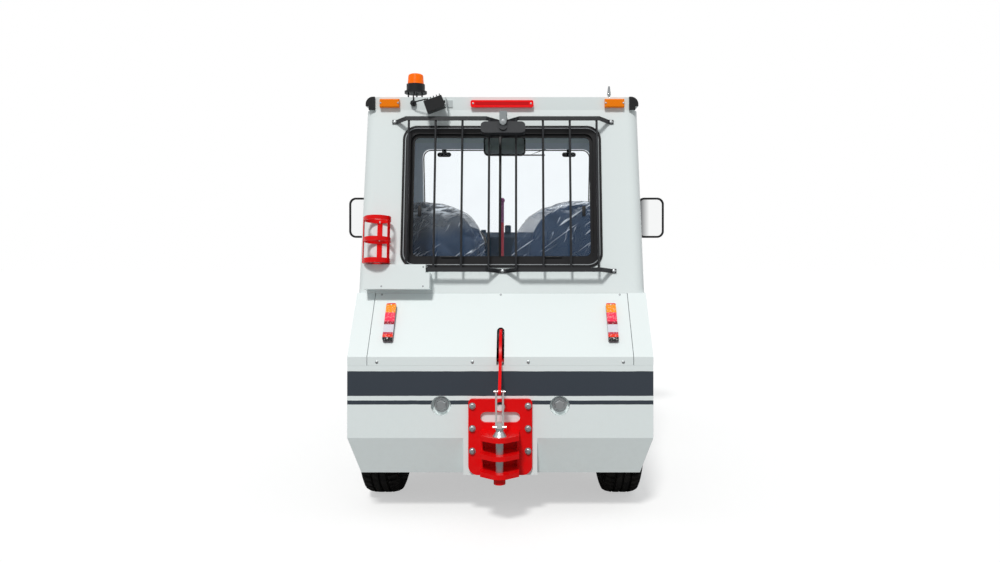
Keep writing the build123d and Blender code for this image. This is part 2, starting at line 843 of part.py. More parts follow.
with BuildPart() as cab_shell:
    for inset, mode in ((0, Mode.ADD), (wall, Mode.SUBTRACT)):
        with BuildSketch(at_z(waist_height)):
            cab_outline(waist_height, inset)
        with BuildSketch(at_z(eave)):
            cab_outline(eave, inset)
        loft(ruled=True, mode=mode)
    with BuildSketch(rear_plane.offset(20)):
        window_outline(
            window_half - seal_over,
            window_low + seal_over,
            window_high - seal_over,
            window_radius,
            up_rear,
        )
    extrude(amount=-wall - 60, mode=Mode.SUBTRACT)
    with BuildSketch(screen_plane.offset(20)):
        window_outline(screen_half, screen_low, screen_high, 60, up_screen)
    extrude(amount=-wall - 60, mode=Mode.SUBTRACT)
    # Door openings, right through both sides.
    with BuildSketch(at_x(-half)):
        y_mid = (y_door_front + y_door_rear) / 2
        z_top = eave - door_top_drop + gap
        with Locations((y_mid, (door_bottom + z_top) / 2)):
            Rectangle(door_width + 2 * gap, z_top - door_bottom)
    extrude(amount=body_width, mode=Mode.SUBTRACT)
    with BuildSketch(at_x(-half)):
        quarter_outline(0)
    extrude(amount=body_width, mode=Mode.SUBTRACT)
    for z in hinge_heights[1:]:
        pillar_hinge(z)
write(cab_shell, "cab_shell")

rear_seal_inner = (window_half - seal_width, window_low + seal_width, window_high - seal_width)
with BuildPart() as rear_window_seal:
    with BuildSketch(rear_plane.offset(seat_fit)):
        window_outline(window_half, window_low, window_high, window_radius + seal_over, up_rear)
    extrude(amount=seal_lip)
    with BuildSketch(rear_plane.offset(seat_fit)):
        window_outline(
            window_half - seal_over - seat_fit,
            window_low + seal_over + seat_fit,
            window_high - seal_over - seat_fit,
            window_radius,
            up_rear,
        )
    extrude(amount=-wall)
    with BuildSketch(rear_plane.offset(20)):
        window_outline(*rear_seal_inner, window_radius - 20, up_rear)
    extrude(amount=-wall - 60, mode=Mode.SUBTRACT)
    with BuildSketch(rear_plane.offset(-wall / 2 + glass / 2)):
        window_outline(
            rear_seal_inner[0] + glass_land,
            rear_seal_inner[1] - glass_land,
            rear_seal_inner[2] + glass_land,
            window_radius - 10,
            up_rear,
        )
    extrude(amount=-glass, mode=Mode.SUBTRACT)
write(rear_window_seal, "rear_window_seal")

with BuildPart() as rear_window:
    with BuildSketch(rear_plane.offset(-wall / 2 + glass / 2)):
        window_outline(
            rear_seal_inner[0] + glass_land - seat_fit,
            rear_seal_inner[1] - glass_land + seat_fit,
            rear_seal_inner[2] + glass_land - seat_fit,
            window_radius - 10,
            up_rear,
        )
    extrude(amount=-glass)
write(rear_window, "rear_window")

with BuildPart() as windscreen:
    with BuildSketch(screen_plane.offset(-8)):
        window_outline(screen_half - seat_fit, screen_low + seat_fit, screen_high - seat_fit, 60, up_screen)
    extrude(amount=-glass)
write(windscreen, "windscreen")


def pane_section(low, high, depth):
    """Both side panes across the cab, leaning with its sides, depth behind their outer faces."""
    for side in (-1, 1):
        Polygon(
            (side * (side_x(low) - depth), low),
            (side * (side_x(high) - depth), high),
            (side * (side_x(high) - depth - glass), high),
            (side * (side_x(low) - depth - glass), low),
            align=None,
        )


with BuildPart() as quarter_windows:
    with BuildSketch(at_y(y_wall)):
        pane_section(quarter_low, quarter_high, 8)
    extrude(amount=-(y_door_rear - y_wall))
    with BuildSketch(at_x(-half)):
        quarter_outline(seat_fit)
    extrude(amount=body_width, mode=Mode.INTERSECT)
write(quarter_windows, "quarter_windows")

visor = 60.0
rail_round = 40.0  # outer top edge of the roof's side rails
rail_notch = (16.0, 20.0)  # gutter under the rail's outer edge
roof_half = side_x(eave)


with BuildPart() as roof:
    with BuildSketch(at_y(y_eave_rear)) as roof_section:
        with Locations((0, eave + roof_thick / 2)):
            Rectangle(2 * roof_half, roof_thick)
        fillet(roof_section.vertices().group_by(Axis.Y)[-1], radius=rail_round)
        for side in (-1, 1):
            with Locations((side * (roof_half - rail_notch[0] / 2), eave + rail_notch[1] / 2)):
                Rectangle(*rail_notch, mode=Mode.SUBTRACT)
    extrude(amount=-(y_eave_screen + visor - y_eave_rear))
    with BuildSketch(at_z(eave)):
        y0, y1 = y_eave_rear + wall, y_eave_screen - wall
        with Locations((0, (y0 + y1) / 2)):
            RectangleRounded(2 * (roof_half - wall), y1 - y0, 20)
    extrude(amount=roof_thick - panel, mode=Mode.SUBTRACT)
write(roof, "roof")

cap_width = 49.0
with BuildPart() as roof_end_caps:
    for y_cap, sign in ((y_eave_rear - seat_fit, 1), (y_eave_screen + visor + seat_fit, -1)):
        with BuildSketch(at_y(y_cap)) as cap_section:
            with Locations((0, eave + roof_thick / 2)):
                Rectangle(2 * roof_half, roof_thick)
            fillet(cap_section.vertices().group_by(Axis.Y)[-1], radius=rail_round)
            with Locations((0, eave + roof_thick / 2)):
                Rectangle(2 * (roof_half - cap_width), roof_thick, mode=Mode.SUBTRACT)
            for side in (-1, 1):
                with Locations((side * (roof_half - rail_notch[0] / 2), eave + rail_notch[1] / 2)):
                    Rectangle(*rail_notch, mode=Mode.SUBTRACT)
        extrude(amount=sign * 14)
write(roof_end_caps, "roof_end_caps")

door_glass_low = waist_height + 80.0
door_glass_high = quarter_high
door_frame = 62.0
for side, door_name in ((-1, "left"), (1, "right")):
    z_top = eave - door_top_drop
    with BuildPart() as door:
        with BuildSketch(at_y(y_door_rear)):
            Polygon(
                (side * half, door_bottom),
                (side * half, waist_height),
                (side * side_x(z_top), z_top),
                (side * (side_x(z_top) - wall), z_top),
                (side * (half - wall), waist_height),
                (side * (half - wall), door_bottom),
                align=None,
            )
        extrude(amount=-door_width)
        with BuildSketch(at_x(side * half - 100)):
            with Locations(((y_door_front + y_door_rear) / 2, (door_glass_low + door_glass_high) / 2)):
                RectangleRounded(door_width - 2 * door_frame, door_glass_high - door_glass_low, 50)
        extrude(amount=200, mode=Mode.SUBTRACT)
        for z in hinge_heights:
            x_pin = side * (half + hinge_out)
            x_face = side * (side_x(z) - 4)
            with Locations((x_pin, y_door_front + hinge_ahead, z)):
                Cylinder(hinge_radius, hinge_barrel)
            with Locations(((x_pin + x_face) / 2, y_door_front - hinge_leaf / 2 + hinge_ahead, z)):
                Box(abs(x_pin - x_face), hinge_leaf, hinge_barrel)
    write(door, f"door_{door_name}")
    with BuildPart() as door_glass:
        with BuildSketch(at_y(y_door_rear)):
            pane_section(door_glass_low, door_glass_high, (wall - glass) / 2)
        extrude(amount=-door_width)
        with BuildSketch(at_x(min(0, side * half))):
            with Locations(((y_door_front + y_door_rear) / 2, (door_glass_low + door_glass_high) / 2)):
                RectangleRounded(
                    door_width - 2 * door_frame - 2 * seat_fit,
                    door_glass_high - door_glass_low - 2 * seat_fit,
                    50,
                )
        extrude(amount=half, mode=Mode.INTERSECT)
    write(door_glass, f"door_glass_{door_name}")

# ---------------------------------------------------------------------------------------------
# Rear cover, tail lamps
# ---------------------------------------------------------------------------------------------
cover_thick = 12.0
slot_width = 38.0
slot_top = 936.0
slope_lean = degrees(atan2(y_wall - y_rear, waist_height - lip_height))
slope_plane = Plane(
    origin=(0, y_rear, lip_height),
    x_dir=(1, 0, 0),
    z_dir=(0, -cos(radians(slope_lean)), sin(radians(slope_lean))),
)
slope_length = (waist_height - lip_height) / cos(radians(slope_lean))

with BuildPart() as rear_cover:
    with BuildSketch(at_y(y_rear)):
        with Locations((0, (ledge_seat + lip_height) / 2)):
            Rectangle(2 * cover_half - 6, lip_height - ledge_seat)
    extrude(amount=-cover_thick)
    with BuildSketch(slope_plane):
        with Locations((0, slope_length / 2)):
            Rectangle(2 * cover_half - 6, slope_length)
    extrude(amount=-cover_thick)
    with BuildSketch(at_y(y_wall)):
        with Locations((0, (slot_top - slot_width / 2 + ledge_seat) / 2)):
            Rectangle(slot_width, slot_top - slot_width / 2 - ledge_seat)
        with Locations((0, slot_top - slot_width / 2)):
            Circle(slot_width / 2)
    extrude(amount=body_length, mode=Mode.SUBTRACT)
    with BuildSketch(at_z(waist_height - 0.5)):
        Rectangle(2 * body_width, 4 * body_length)
    extrude(amount=200, mode=Mode.SUBTRACT)
write(rear_cover, "rear_cover")

tail_lamp_x = half - 190.0
tail_lamp_size = (50.0, 216.0)
tail_lamp_up = slope_length / 2 + 1.2  # centre, up the slope
with BuildPart() as tail_lamps:
    with BuildSketch(slope_plane.offset(seat_fit)):
        with Locations((-tail_lamp_x, tail_lamp_up), (tail_lamp_x, tail_lamp_up)):
            RectangleRounded(*tail_lamp_size, 8)
    extrude(amount=26)
write(tail_lamps, "tail_lamps")

# ---------------------------------------------------------------------------------------------
# Cab floor, seat deck, bulkhead and cowl
# ---------------------------------------------------------------------------------------------
sheet = 10.0
seat_x = 340.0
seat_width = 500.0
seat_y = y_wall + 555.0  # front face of the backrest
cushion_z = 1010.0
seat_top = cushion_z + 589.0
cushion_thick = 110.0
deck_z = axle_z + arch_radius + liner + seat_fit
deck_front = y_wall + 890.0
floor_half = half - sill_in - panel - seat_fit
bulkhead_y = y_door_front + 100.0
cowl_drop = 50.0  # cowl below the bonnet's rear edge
cowl_z = min(waist_height, bonnet_rear_height - cowl_drop)
lever_hole_top = waist_height - 30.0
inner_half = half - wall - gap - 4
y_cab_back = y_wall + wall
with BuildPart() as cab_floor:
    with Locations((0, (deck_front + bulkhead_y) / 2, floor_height - floor_thick / 2)):
        Box(2 * floor_half, bulkhead_y - deck_front, floor_thick)
    with Locations((0, (y_cab_back + y_door_rear) / 2, deck_z + sheet)):
        Box(2 * inner_half, y_door_rear - y_cab_back, 2 * sheet)
    with Locations((0, (y_door_rear + deck_front) / 2, deck_z + sheet)):
        Box(2 * floor_half, deck_front - y_door_rear + 20, 2 * sheet)
    with Locations((0, deck_front, (floor_height - 1 + deck_z) / 2)):
        Box(2 * floor_half, 2 * sheet, deck_z - floor_height + 2)
    with Locations((0, y_cab_back + sheet / 2, (deck_z + waist_height) / 2)):
        Box(2 * inner_half, sheet, waist_height - deck_z)
    # Bulkhead and the cowl under the windscreen.
    with Locations((0, bulkhead_y - sheet / 2, (floor_height - floor_thick + waist_height) / 2)):
        Box(2 * floor_half, sheet, waist_height - floor_height + floor_thick)
    with Locations((0, bulkhead_y - sheet / 2, (deck_z + waist_height) / 2)):
        Box(2 * inner_half, sheet, waist_height - deck_z)
    with Locations((0, (bulkhead_y + cowl_y) / 2 - sheet / 2, cowl_z - sheet / 2)):
        Box(2 * inner_half, cowl_y - bulkhead_y + sheet, sheet)
    # Opening in the back wall for the coupling lever.
    with Locations((0, y_cab_back, (deck_z + 2 * sheet + lever_hole_top) / 2)):
        Box(44, 60, lever_hole_top - deck_z - 2 * sheet, mode=Mode.SUBTRACT)
    # Fixed halves of the bonnet hinges, standing on the cowl.
    for x in (-bonnet_hinge_x, bonnet_hinge_x):
        for side in (-1, 1):
            x_half = x + side * (hinge_barrel / 2 + seat_fit + pillar_barrel / 2)
            with Locations((x_half, bonnet_pin_y, bonnet_pin_z)):
                Cylinder(hinge_radius, pillar_barrel, rotation=(0, 90, 0))
            with Locations((x_half, bonnet_pin_y - 12, (bonnet_pin_z + cowl_z) / 2)):
                Box(pillar_barrel, 12, bonnet_pin_z - cowl_z)
            with Locations((x_half, bonnet_pin_y - 4, bonnet_pin_z)):
                Box(pillar_barrel, 8, 12)
    # Seat bases on the deck.
    for side in (-1, 1):
        with Locations((side * seat_x, seat_y + 150, (deck_z + cushion_z) / 2)):
            Box(seat_width - 120, 360, cushion_z - deck_z)
write(cab_floor, "cab_floor")

# ---------------------------------------------------------------------------------------------
# Seats, dashboard and steering
# ---------------------------------------------------------------------------------------------
with BuildPart() as seats:
    for side in (-1, 1):
        with BuildSketch(at_z(cushion_z + seat_fit)):
            with Locations((side * seat_x, seat_y + 150)):
                RectangleRounded(seat_width, 480, 50)
        extrude(amount=cushion_thick)
        back = Plane(
            origin=(side * seat_x, seat_y, cushion_z + 60), x_dir=(1, 0, 0), z_dir=(0, -cos(0.12), -sin(0.12))
        )
        with BuildSketch(back):
            with BuildLine():
                back_line = FilletPolyline(
                    (-seat_width / 2, 0),
                    (seat_width / 2, 0),
                    (seat_width / 2, 0.7 * (seat_top - cushion_z)),
                    (0.26 * seat_width, seat_top - cushion_z - 52),
                    (-0.26 * seat_width, seat_top - cushion_z - 52),
                    (-seat_width / 2, 0.7 * (seat_top - cushion_z)),
                    radius=40,
                    close=True,
                )
            make_face()
        extrude(amount=110)
write(seats, "seats")

column_lean = 35.0  # degrees from upright
wheel_centre = (-seat_x, y_door_front - 150.0, waist_height + 265.0)
column_axis = (0, -sin(radians(column_lean)), cos(radians(column_lean)))
wheel_plane = Plane(origin=wheel_centre, x_dir=(1, 0, 0), z_dir=column_axis)
with BuildPart() as dashboard:
    with BuildSketch(at_x(-half + wall + 40)):
        Polygon(
            (y_door_front + 20, waist_height + seat_fit),
            (y_door_front - 40, waist_height + 150),
            (y_door_front - 40, waist_height + 300),
            (y_door_front + 40, waist_height + 336),
            (y_screen - 90, waist_height + 230),
            (y_screen - 70, waist_height + seat_fit),
            align=None,
        )
    extrude(amount=body_width - 2 * wall - 80)
    with BuildSketch(wheel_plane.offset(-10 - seat_fit)):
        Circle(26)
    extrude(amount=-200)
write(dashboard, "dashboard")

rim_plane = Plane(
    origin=wheel_centre,
    x_dir=(1, 0, 0),
    z_dir=(0, -cos(radians(column_lean)), -sin(radians(column_lean))),
)
with BuildPart() as steering_wheel:
    with BuildSketch(rim_plane):
        with Locations((190, 0)):
            Circle(14)
    revolve(axis=Axis(wheel_centre, column_axis))
    with BuildSketch(wheel_plane.offset(-10)):
        Rectangle(370, 34)
        with Locations((0, -92)):
            Rectangle(34, 185)
        Circle(45)
    extrude(amount=14)
write(steering_wheel, "steering_wheel")

# ---------------------------------------------------------------------------------------------
# Rear coupling
# ---------------------------------------------------------------------------------------------
jaw_pitch = jaw_plate + jaw_gap
jaw_top = jaw_bottom + 2 * jaw_pitch + jaw_plate
y_plate = y_rear - seat_fit
y_pin = y_rear - pin_reach
plate_slot = (194.0, 52.0)
plate_slot_z = 511.0
cheek_reach = 60.0
boss_diameter = 56.0
boss_bottom = 225.0
with BuildPart() as hitch:
    with BuildSketch(at_y(y_plate)) as plate_section:
        with Locations((0, hitch_plate_bottom + hitch_plate_size[1] / 2)):
            Rectangle(*hitch_plate_size)
        fillet(plate_section.vertices().group_by(Axis.Y)[-1], radius=20)
        fillet(plate_section.vertices().group_by(Axis.Y)[0], radius=47)
        with Locations((0, plate_slot_z)):
            SlotOverall(*plate_slot, mode=Mode.SUBTRACT)
        with Locations((0, plate_slot_z + 51)):
            Circle(24, mode=Mode.SUBTRACT)
        with Locations(*hitch_bolts):
            Circle(hitch_bolt_hole, mode=Mode.SUBTRACT)
    extrude(amount=hitch_plate_thick)
    # Three jaw plates, longest in the middle.
    for step in range(3):
        with BuildSketch(at_z(jaw_bottom + step * jaw_pitch)):
            Polygon(
                (-jaw_width / 2, y_plate - 4),
                (-jaw_width / 2, y_rear - jaw_side_reach),
                (-28, y_rear - hitch_reach + 6),
                (0, y_rear - hitch_reach),
                (28, y_rear - hitch_reach + 6),
                (jaw_width / 2, y_rear - jaw_side_reach),
                (jaw_width / 2, y_plate - 4),
                align=None,
            )
        extrude(amount=jaw_plate)
    # Cheeks and the back of the jaw.
    for side in (-1, 1):
        with Locations((side * (jaw_width / 2 - 5), y_rear - cheek_reach / 2, (jaw_bottom + jaw_top) / 2)):
            Box(10, cheek_reach - 2, jaw_top - jaw_bottom)
    with Locations((0, y_plate - 10, (jaw_bottom + jaw_top) / 2)):
        Box(jaw_width - 4, 20, jaw_top - jaw_bottom)
    # Boss under the bottom plate, then the pin's bore through everything.
    with BuildSketch(at_z(boss_bottom)):
        with Locations((0, y_pin)):
            Circle(boss_diameter / 2)
    extrude(amount=jaw_bottom + jaw_plate - boss_bottom)
    with BuildSketch(at_z(boss_bottom)):
        with Locations((0, y_pin)):
            Circle(pin_diameter / 2 + pin_clearance)
    extrude(amount=jaw_top - boss_bottom, mode=Mode.SUBTRACT)
write(hitch, "hitch")

pin_bottom = 240.0
cone_height = 30.0
yoke_height = 40.0
rod_x = 16.0
lift_rod = 9.5
crosspin = 9.0
with BuildPart() as hitch_pin:
    with BuildSketch(at_z(pin_bottom)):
        with Locations((0, y_pin)):
            Circle(pin_diameter / 2)
    extrude(amount=jaw_top + cone_height - pin_bottom)
    # Cone that rests on the top plate, and the block that takes the two lifting rods.
    with BuildSketch(at_z(jaw_top + seat_fit)):
        with Locations((0, y_pin)):
            Circle(34)
    with BuildSketch(at_z(jaw_top + cone_height)):
        with Locations((0, y_pin)):
            Circle(14)
    loft()
    with Locations((0, y_pin, jaw_top + cone_height + yoke_height / 2 - 4)):
        Box(2 * rod_x - lift_rod + 1, 26, yoke_height)
    with Locations((0, y_pin, jaw_top + cone_height + yoke_height / 2 - 8)):
        Cylinder(6, 66, rotation=(0, 90, 0))
    for side in (-1, 1):
        with BuildSketch(at_z(jaw_top + cone_height)):
            with Locations((side * rod_x, y_pin)):
                Circle(lift_rod / 2)
        extrude(amount=crosspin_z + 8 - jaw_top - cone_height)
    with Locations((0, y_pin, crosspin_z)):
        Cylinder(crosspin / 2, 56, rotation=(0, 90, 0))
write(hitch_pin, "hitch_pin")


def lever_point(radius, angle):
    """Point of the lever's profile in (Y, Z), angle in degrees from the front, about its pivot."""
    return (lever_y + radius * cos(radians(angle)), lever_z + radius * sin(radians(angle)))


with BuildPart() as hitch_lever:
    inner, outer = arc_radius - bar_depth / 2, arc_radius + bar_depth / 2
    with BuildSketch(at_x(-lever_thick / 2)):
        # Bar bent round the pivot through the cover's slot, down to the pivot inside.
        with BuildLine():
            ThreePointArc(lever_point(outer, 186), lever_point(outer, 143), lever_point(outer, 100))
            Line(lever_point(outer, 100), lever_point(inner, 100))
            ThreePointArc(lever_point(inner, 100), lever_point(inner, 143), lever_point(inner, 186))
            Line(lever_point(inner, 186), lever_point(outer, 186))
        make_face()
        Polygon(
            lever_point(outer, 100),
            lever_point(outer, 108),
            lever_point(14, 150),
            lever_point(14, 40),
            align=None,
        )
        # Outer end with the slotted eye.
        Polygon(
            lever_point(inner, 178),
            lever_point(outer, 172),
            lever_point(lever_reach, 180 + lever_tilt - 3.2),
            lever_point(lever_reach, 180 + lever_tilt + 3.2),
            lever_point(inner, 188),
            align=None,
        )
        eye_mid = (lever_level + lever_reach) / 2
        with Locations(lever_point(eye_mid, 180 + lever_tilt)):
            SlotOverall(lever_reach - lever_level + 40, 36, rotation=lever_tilt)
            SlotOverall(
                lever_reach - lever_level + crosspin + 2 * eye_clearance,
                crosspin + 2 * eye_clearance,
                rotation=lever_tilt,
                mode=Mode.SUBTRACT,
            )
        # Arm up into the cab.
        Polygon(
            lever_point(10, 0),
            (y_wall - 36, waist_height - 232),
            (y_wall + 98, waist_height - 92),
            (y_wall + 84, waist_height - 78),
            (y_wall - 52, waist_height - 224),
            lever_point(10, 170),
            align=None,
        )
        with Locations((lever_y, lever_z)):
            Circle(lever_pin / 2 + 12)
    extrude(amount=lever_thick)
    foot = (0, y_wall + 90, waist_height - 90)
    top = (0, handle_top[0], handle_top[1])
    along = (0, top[1] - foot[1], top[2] - foot[2])
    with BuildSketch(Plane(origin=foot, x_dir=(1, 0, 0), z_dir=along)):
        Circle(5)
    extrude(amount=sqrt(along[1] ** 2 + along[2] ** 2) - 10)
    with Locations(top):
        Sphere(15)
    with Locations((0, lever_y, lever_z)):
        Cylinder(lever_pin / 2, 92, rotation=(0, 90, 0))
        Cylinder(lever_pin / 2 + 8, 59, rotation=(0, 90, 0))
write(hitch_lever, "hitch_lever")

# ---------------------------------------------------------------------------------------------
# Window guard, extinguisher holder, rear box
# ---------------------------------------------------------------------------------------------
guard_x = 5.0
guard_stand = 70.0
guard_half = window_half - 20.0  # straight part of the bars
guard_low = waist_height + 114.0
guard_high = eave - 67.0
guard_bar = (22.0, 6.0)
guard_foot = 26.0
rod_diameter = 12.0
rod_count = 8
rod_pitch = 2 * (guard_half - 13.0) / (rod_count - 1)
rod_off = guard_stand - guard_bar[1] - rod_diameter / 2 + 0.5  # rods are welded inside the bars


def wall_section(x, z):
    """Plane square to the rear wall's rise at (x, z): sketches are in (X, into the cab)."""
    origin = rear_plane.from_local_coords((x, up_rear(z), 0))
    return Plane(origin=origin, x_dir=(1, 0, 0), z_dir=rear_plane.y_dir)


with BuildPart() as window_guard:
    for z in (guard_low, guard_high):
        with BuildSketch(wall_section(guard_x, z)):
            out, back, thick = -guard_stand, -seat_fit, guard_bar[1]
            for side in (-1, 1):
                # Half of the bar: foot on the wall, bend, straight run, then the bend to the middle foot.
                Polygon(
                    (side * (guard_half + 58 + guard_foot), back),
                    (side * (guard_half + 58), back),
                    (side * guard_half, out + thick),
                    (side * 84, out + thick),
                    (side * 16, back),
                    (0, back),
                    (0, back - thick),
                    (side * 19, back - thick),
                    (side * 87, out),
                    (side * (guard_half + 2), out),
                    (side * (guard_half + 61), back - thick),
                    (side * (guard_half + 58 + guard_foot), back - thick),
                    align=None,
                )
        extrude(amount=guard_bar[0] / 2, both=True)
    for k in range(rod_count):
        x = guard_x + (k - (rod_count - 1) / 2) * rod_pitch
        bottom = rear_plane.from_local_coords((x, up_rear(guard_low), rod_off))
        with BuildSketch(Plane(origin=bottom, x_dir=(1, 0, 0), z_dir=rear_plane.y_dir)):
            Circle(rod_diameter / 2)
        extrude(amount=up_rear(guard_high) - up_rear(guard_low))
write(window_guard, "window_guard")

holder_x = -(half + window_half) / 2
holder_bottom = waist_height + 147.0
holder_length = 240.0
holder_bore = 64.0
hoop = 5.0
hoop_height = 22.0
holder_off = holder_bore + hoop + 4.0
with BuildPart() as extinguisher_holder:
    base = wall_section(holder_x, holder_bottom)
    for up in (0, (holder_length - hoop_height) / 2, holder_length - hoop_height):
        with BuildSketch(base.offset(up)):
            with Locations((0, -holder_off)):
                Circle(holder_bore + hoop)
                Circle(holder_bore, mode=Mode.SUBTRACT)
        extrude(amount=hoop_height)
    with BuildSketch(base):
        with Locations((0, -holder_off)):
            Circle(holder_bore + hoop)
            Circle(20, mode=Mode.SUBTRACT)
    extrude(amount=-3)
    with BuildSketch(base):
        with Locations((0, -seat_fit - 2.2)):
            Rectangle(26, 4.4)
        for angle in (180, -25):
            with Locations(Pos(0, -holder_off) * Rot(0, 0, angle) * Pos(holder_bore + hoop + 1, 0)):
                Rectangle(4, 20)
    extrude(amount=holder_length)
write(extinguisher_holder, "extinguisher_holder")

box_depth = 85.0
box_wall = 3.0
box_span = (-half + 49.0, -window_half + 144.0)
box_flange = 21.0  # the lower part reaches this much further to the right
box_low, box_notch, box_high = waist_height + 14.0, waist_height + 97.0, waist_height + 139.0


def box_outline(inset):
    """Outline of the box on the rear wall, stepped at its right-hand edge."""
    left, right = box_span[0] + inset, box_span[1] - inset
    Polygon(
        (left, up_rear(box_low) + inset),
        (right + box_flange, up_rear(box_low) + inset),
        (right + box_flange, up_rear(box_notch) - inset),
        (right, up_rear(box_notch) - inset),
        (right, up_rear(box_high) - inset),
        (left, up_rear(box_high) - inset),
        align=None,
    )


with BuildPart() as rear_box:
    with BuildSketch(rear_plane.offset(seat_fit)):
        box_outline(0)
    extrude(amount=box_depth)
    with BuildSketch(rear_plane):
        box_outline(box_wall)
    extrude(amount=box_depth - box_wall, mode=Mode.SUBTRACT)
    with BuildSketch(rear_plane):
        window_outline(
            window_half + seat_fit, window_low - seat_fit, window_high, window_radius + seal_over, up_rear
        )
    extrude(amount=seal_lip + 3 * seat_fit, mode=Mode.SUBTRACT)
    # The guard's lower bar and first rod pass into the box.
    bar_hole = rear_plane.from_local_coords((box_span[1], up_rear(guard_low), guard_stand - guard_bar[1] / 2))
    with Locations(Plane(origin=bar_hole, x_dir=(1, 0, 0), z_dir=rear_plane.z_dir).location):
        Box(70, guard_bar[0] + 2, guard_bar[1] + 4, mode=Mode.SUBTRACT)
    rod_hole = rear_plane.from_local_coords(
        (
            guard_x - (rod_count - 1) / 2 * rod_pitch,
            up_rear(box_high),
            rod_off,
        )
    )
    with Locations(Plane(origin=rod_hole, x_dir=(1, 0, 0), z_dir=rear_plane.z_dir).location):
        Box(rod_diameter + 6, 20, rod_diameter + 6, mode=Mode.SUBTRACT)
write(rear_box, "rear_box")

# ---------------------------------------------------------------------------------------------
# Front coupling
# ---------------------------------------------------------------------------------------------
with BuildPart() as front_coupling:
    with Locations((0, y_front + seat_fit + 8, front_jaw_bottom + front_jaw_gap / 2 + front_jaw_plate)):
        Box(240, 16, 220)
    for step in range(2):
        with BuildSketch(at_z(front_jaw_bottom + step * (front_jaw_plate + front_jaw_gap))):
            with Locations((0, y_front + front_reach / 2)):
                Rectangle(front_jaw_width, front_reach)
            with Locations((0, y_front + front_reach - 40)):
                Circle(front_jaw_bore / 2, mode=Mode.SUBTRACT)
        extrude(amount=front_jaw_plate)
write(front_coupling, "front_coupling")

# ---------------------------------------------------------------------------------------------
# Lamps, beacon and antenna on the roof
# ---------------------------------------------------------------------------------------------
y_fascia = y_eave_rear - seat_fit
marker_x = half - 146.0
marker_size = (105.0, 45.0)
with BuildPart() as marker_lamps:
    with BuildSketch(at_y(y_fascia)):
        with Locations((-marker_x, eave + 34), (marker_x, eave + 34)):
            Rectangle(*marker_size)
    extrude(amount=26)
    fillet(marker_lamps.faces().group_by(Axis.Y)[0].edges(), radius=6)
write(marker_lamps, "marker_lamps")

with BuildPart() as brake_lamp:
    with BuildSketch(at_y(y_fascia)):
        with Locations((0, eave + 31)):
            RectangleRounded(337, 37, 10)
    extrude(amount=24)
write(brake_lamp, "brake_lamp")

beacon_x = -half + 276.0
beacon_y = y_eave_rear + 66.0
beacon_flange = (61.0, roof_height + 31.0, roof_height + 43.0)  # radius, bottom, top
beacon_body = (50.0, roof_height + 81.0)  # radius, top
with BuildPart() as beacon:
    with BuildSketch(at_z(beacon_flange[1])):
        with Locations((beacon_x, beacon_y)):
            Circle(beacon_flange[0])
    extrude(amount=beacon_flange[2] - beacon_flange[1])
    with BuildSketch(at_z(beacon_flange[2])):
        with Locations((beacon_x, beacon_y)):
            Circle(beacon_body[0])
    extrude(amount=beacon_body[1] - beacon_flange[2])
    # Three studs hold the beacon above the roof.
    with BuildSketch(at_z(roof_height + seat_fit)):
        with Locations((beacon_x, beacon_y)):
            with PolarLocations(43, 3, start_angle=-30):
                Circle(4)
    extrude(amount=beacon_flange[1] - roof_height)
write(beacon, "beacon")

with BuildPart() as beacon_dome:
    with BuildSketch(at_y(beacon_y)):
        Polygon(
            (beacon_x, beacon_body[1] + seat_fit),
            (beacon_x + 44.5, beacon_body[1] + seat_fit),
            (beacon_x + 41, beacon_body[1] + 45),
            (beacon_x + 38, beacon_body[1] + 52),
            (beacon_x + 30, beacon_body[1] + 56),
            (beacon_x, beacon_body[1] + 56),
            align=None,
        )
    revolve(axis=Axis((beacon_x, beacon_y, 0), (0, 0, 1)))
write(beacon_dome, "beacon_dome")

lamp_at = (beacon_x + 120.0, y_eave_rear - 75.0, eave + 16.0)
lamp_size = (100.0, 70.0, 62.0)
lamp_roll = 20.0  # degrees, its right-hand end higher
fin_count = 6
grommet_at = (beacon_x - 3, y_fascia, eave + 35.0)
grommet_deep = 18.0
lead = 3.5  # radius
lead_runs = [
    # points from end to end, bend radius
    (
        [
            (grommet_at[0], y_eave_rear + 24, beacon_flange[1] - seat_fit),
            (grommet_at[0], y_eave_rear + 24, roof_height + 14),
            (grommet_at[0], y_fascia - 9, roof_height + 12),
            (grommet_at[0], y_fascia - 9, grommet_at[2]),
        ],
        9,
    ),
    (
        [
            (grommet_at[0], y_fascia - 8, grommet_at[2]),
            (grommet_at[0], y_fascia - 34, grommet_at[2]),
            (lamp_at[0] - 42, lamp_at[1], grommet_at[2] + 12),
            (lamp_at[0] - 38, lamp_at[1], lamp_at[2]),
        ],
        10,
    ),
]
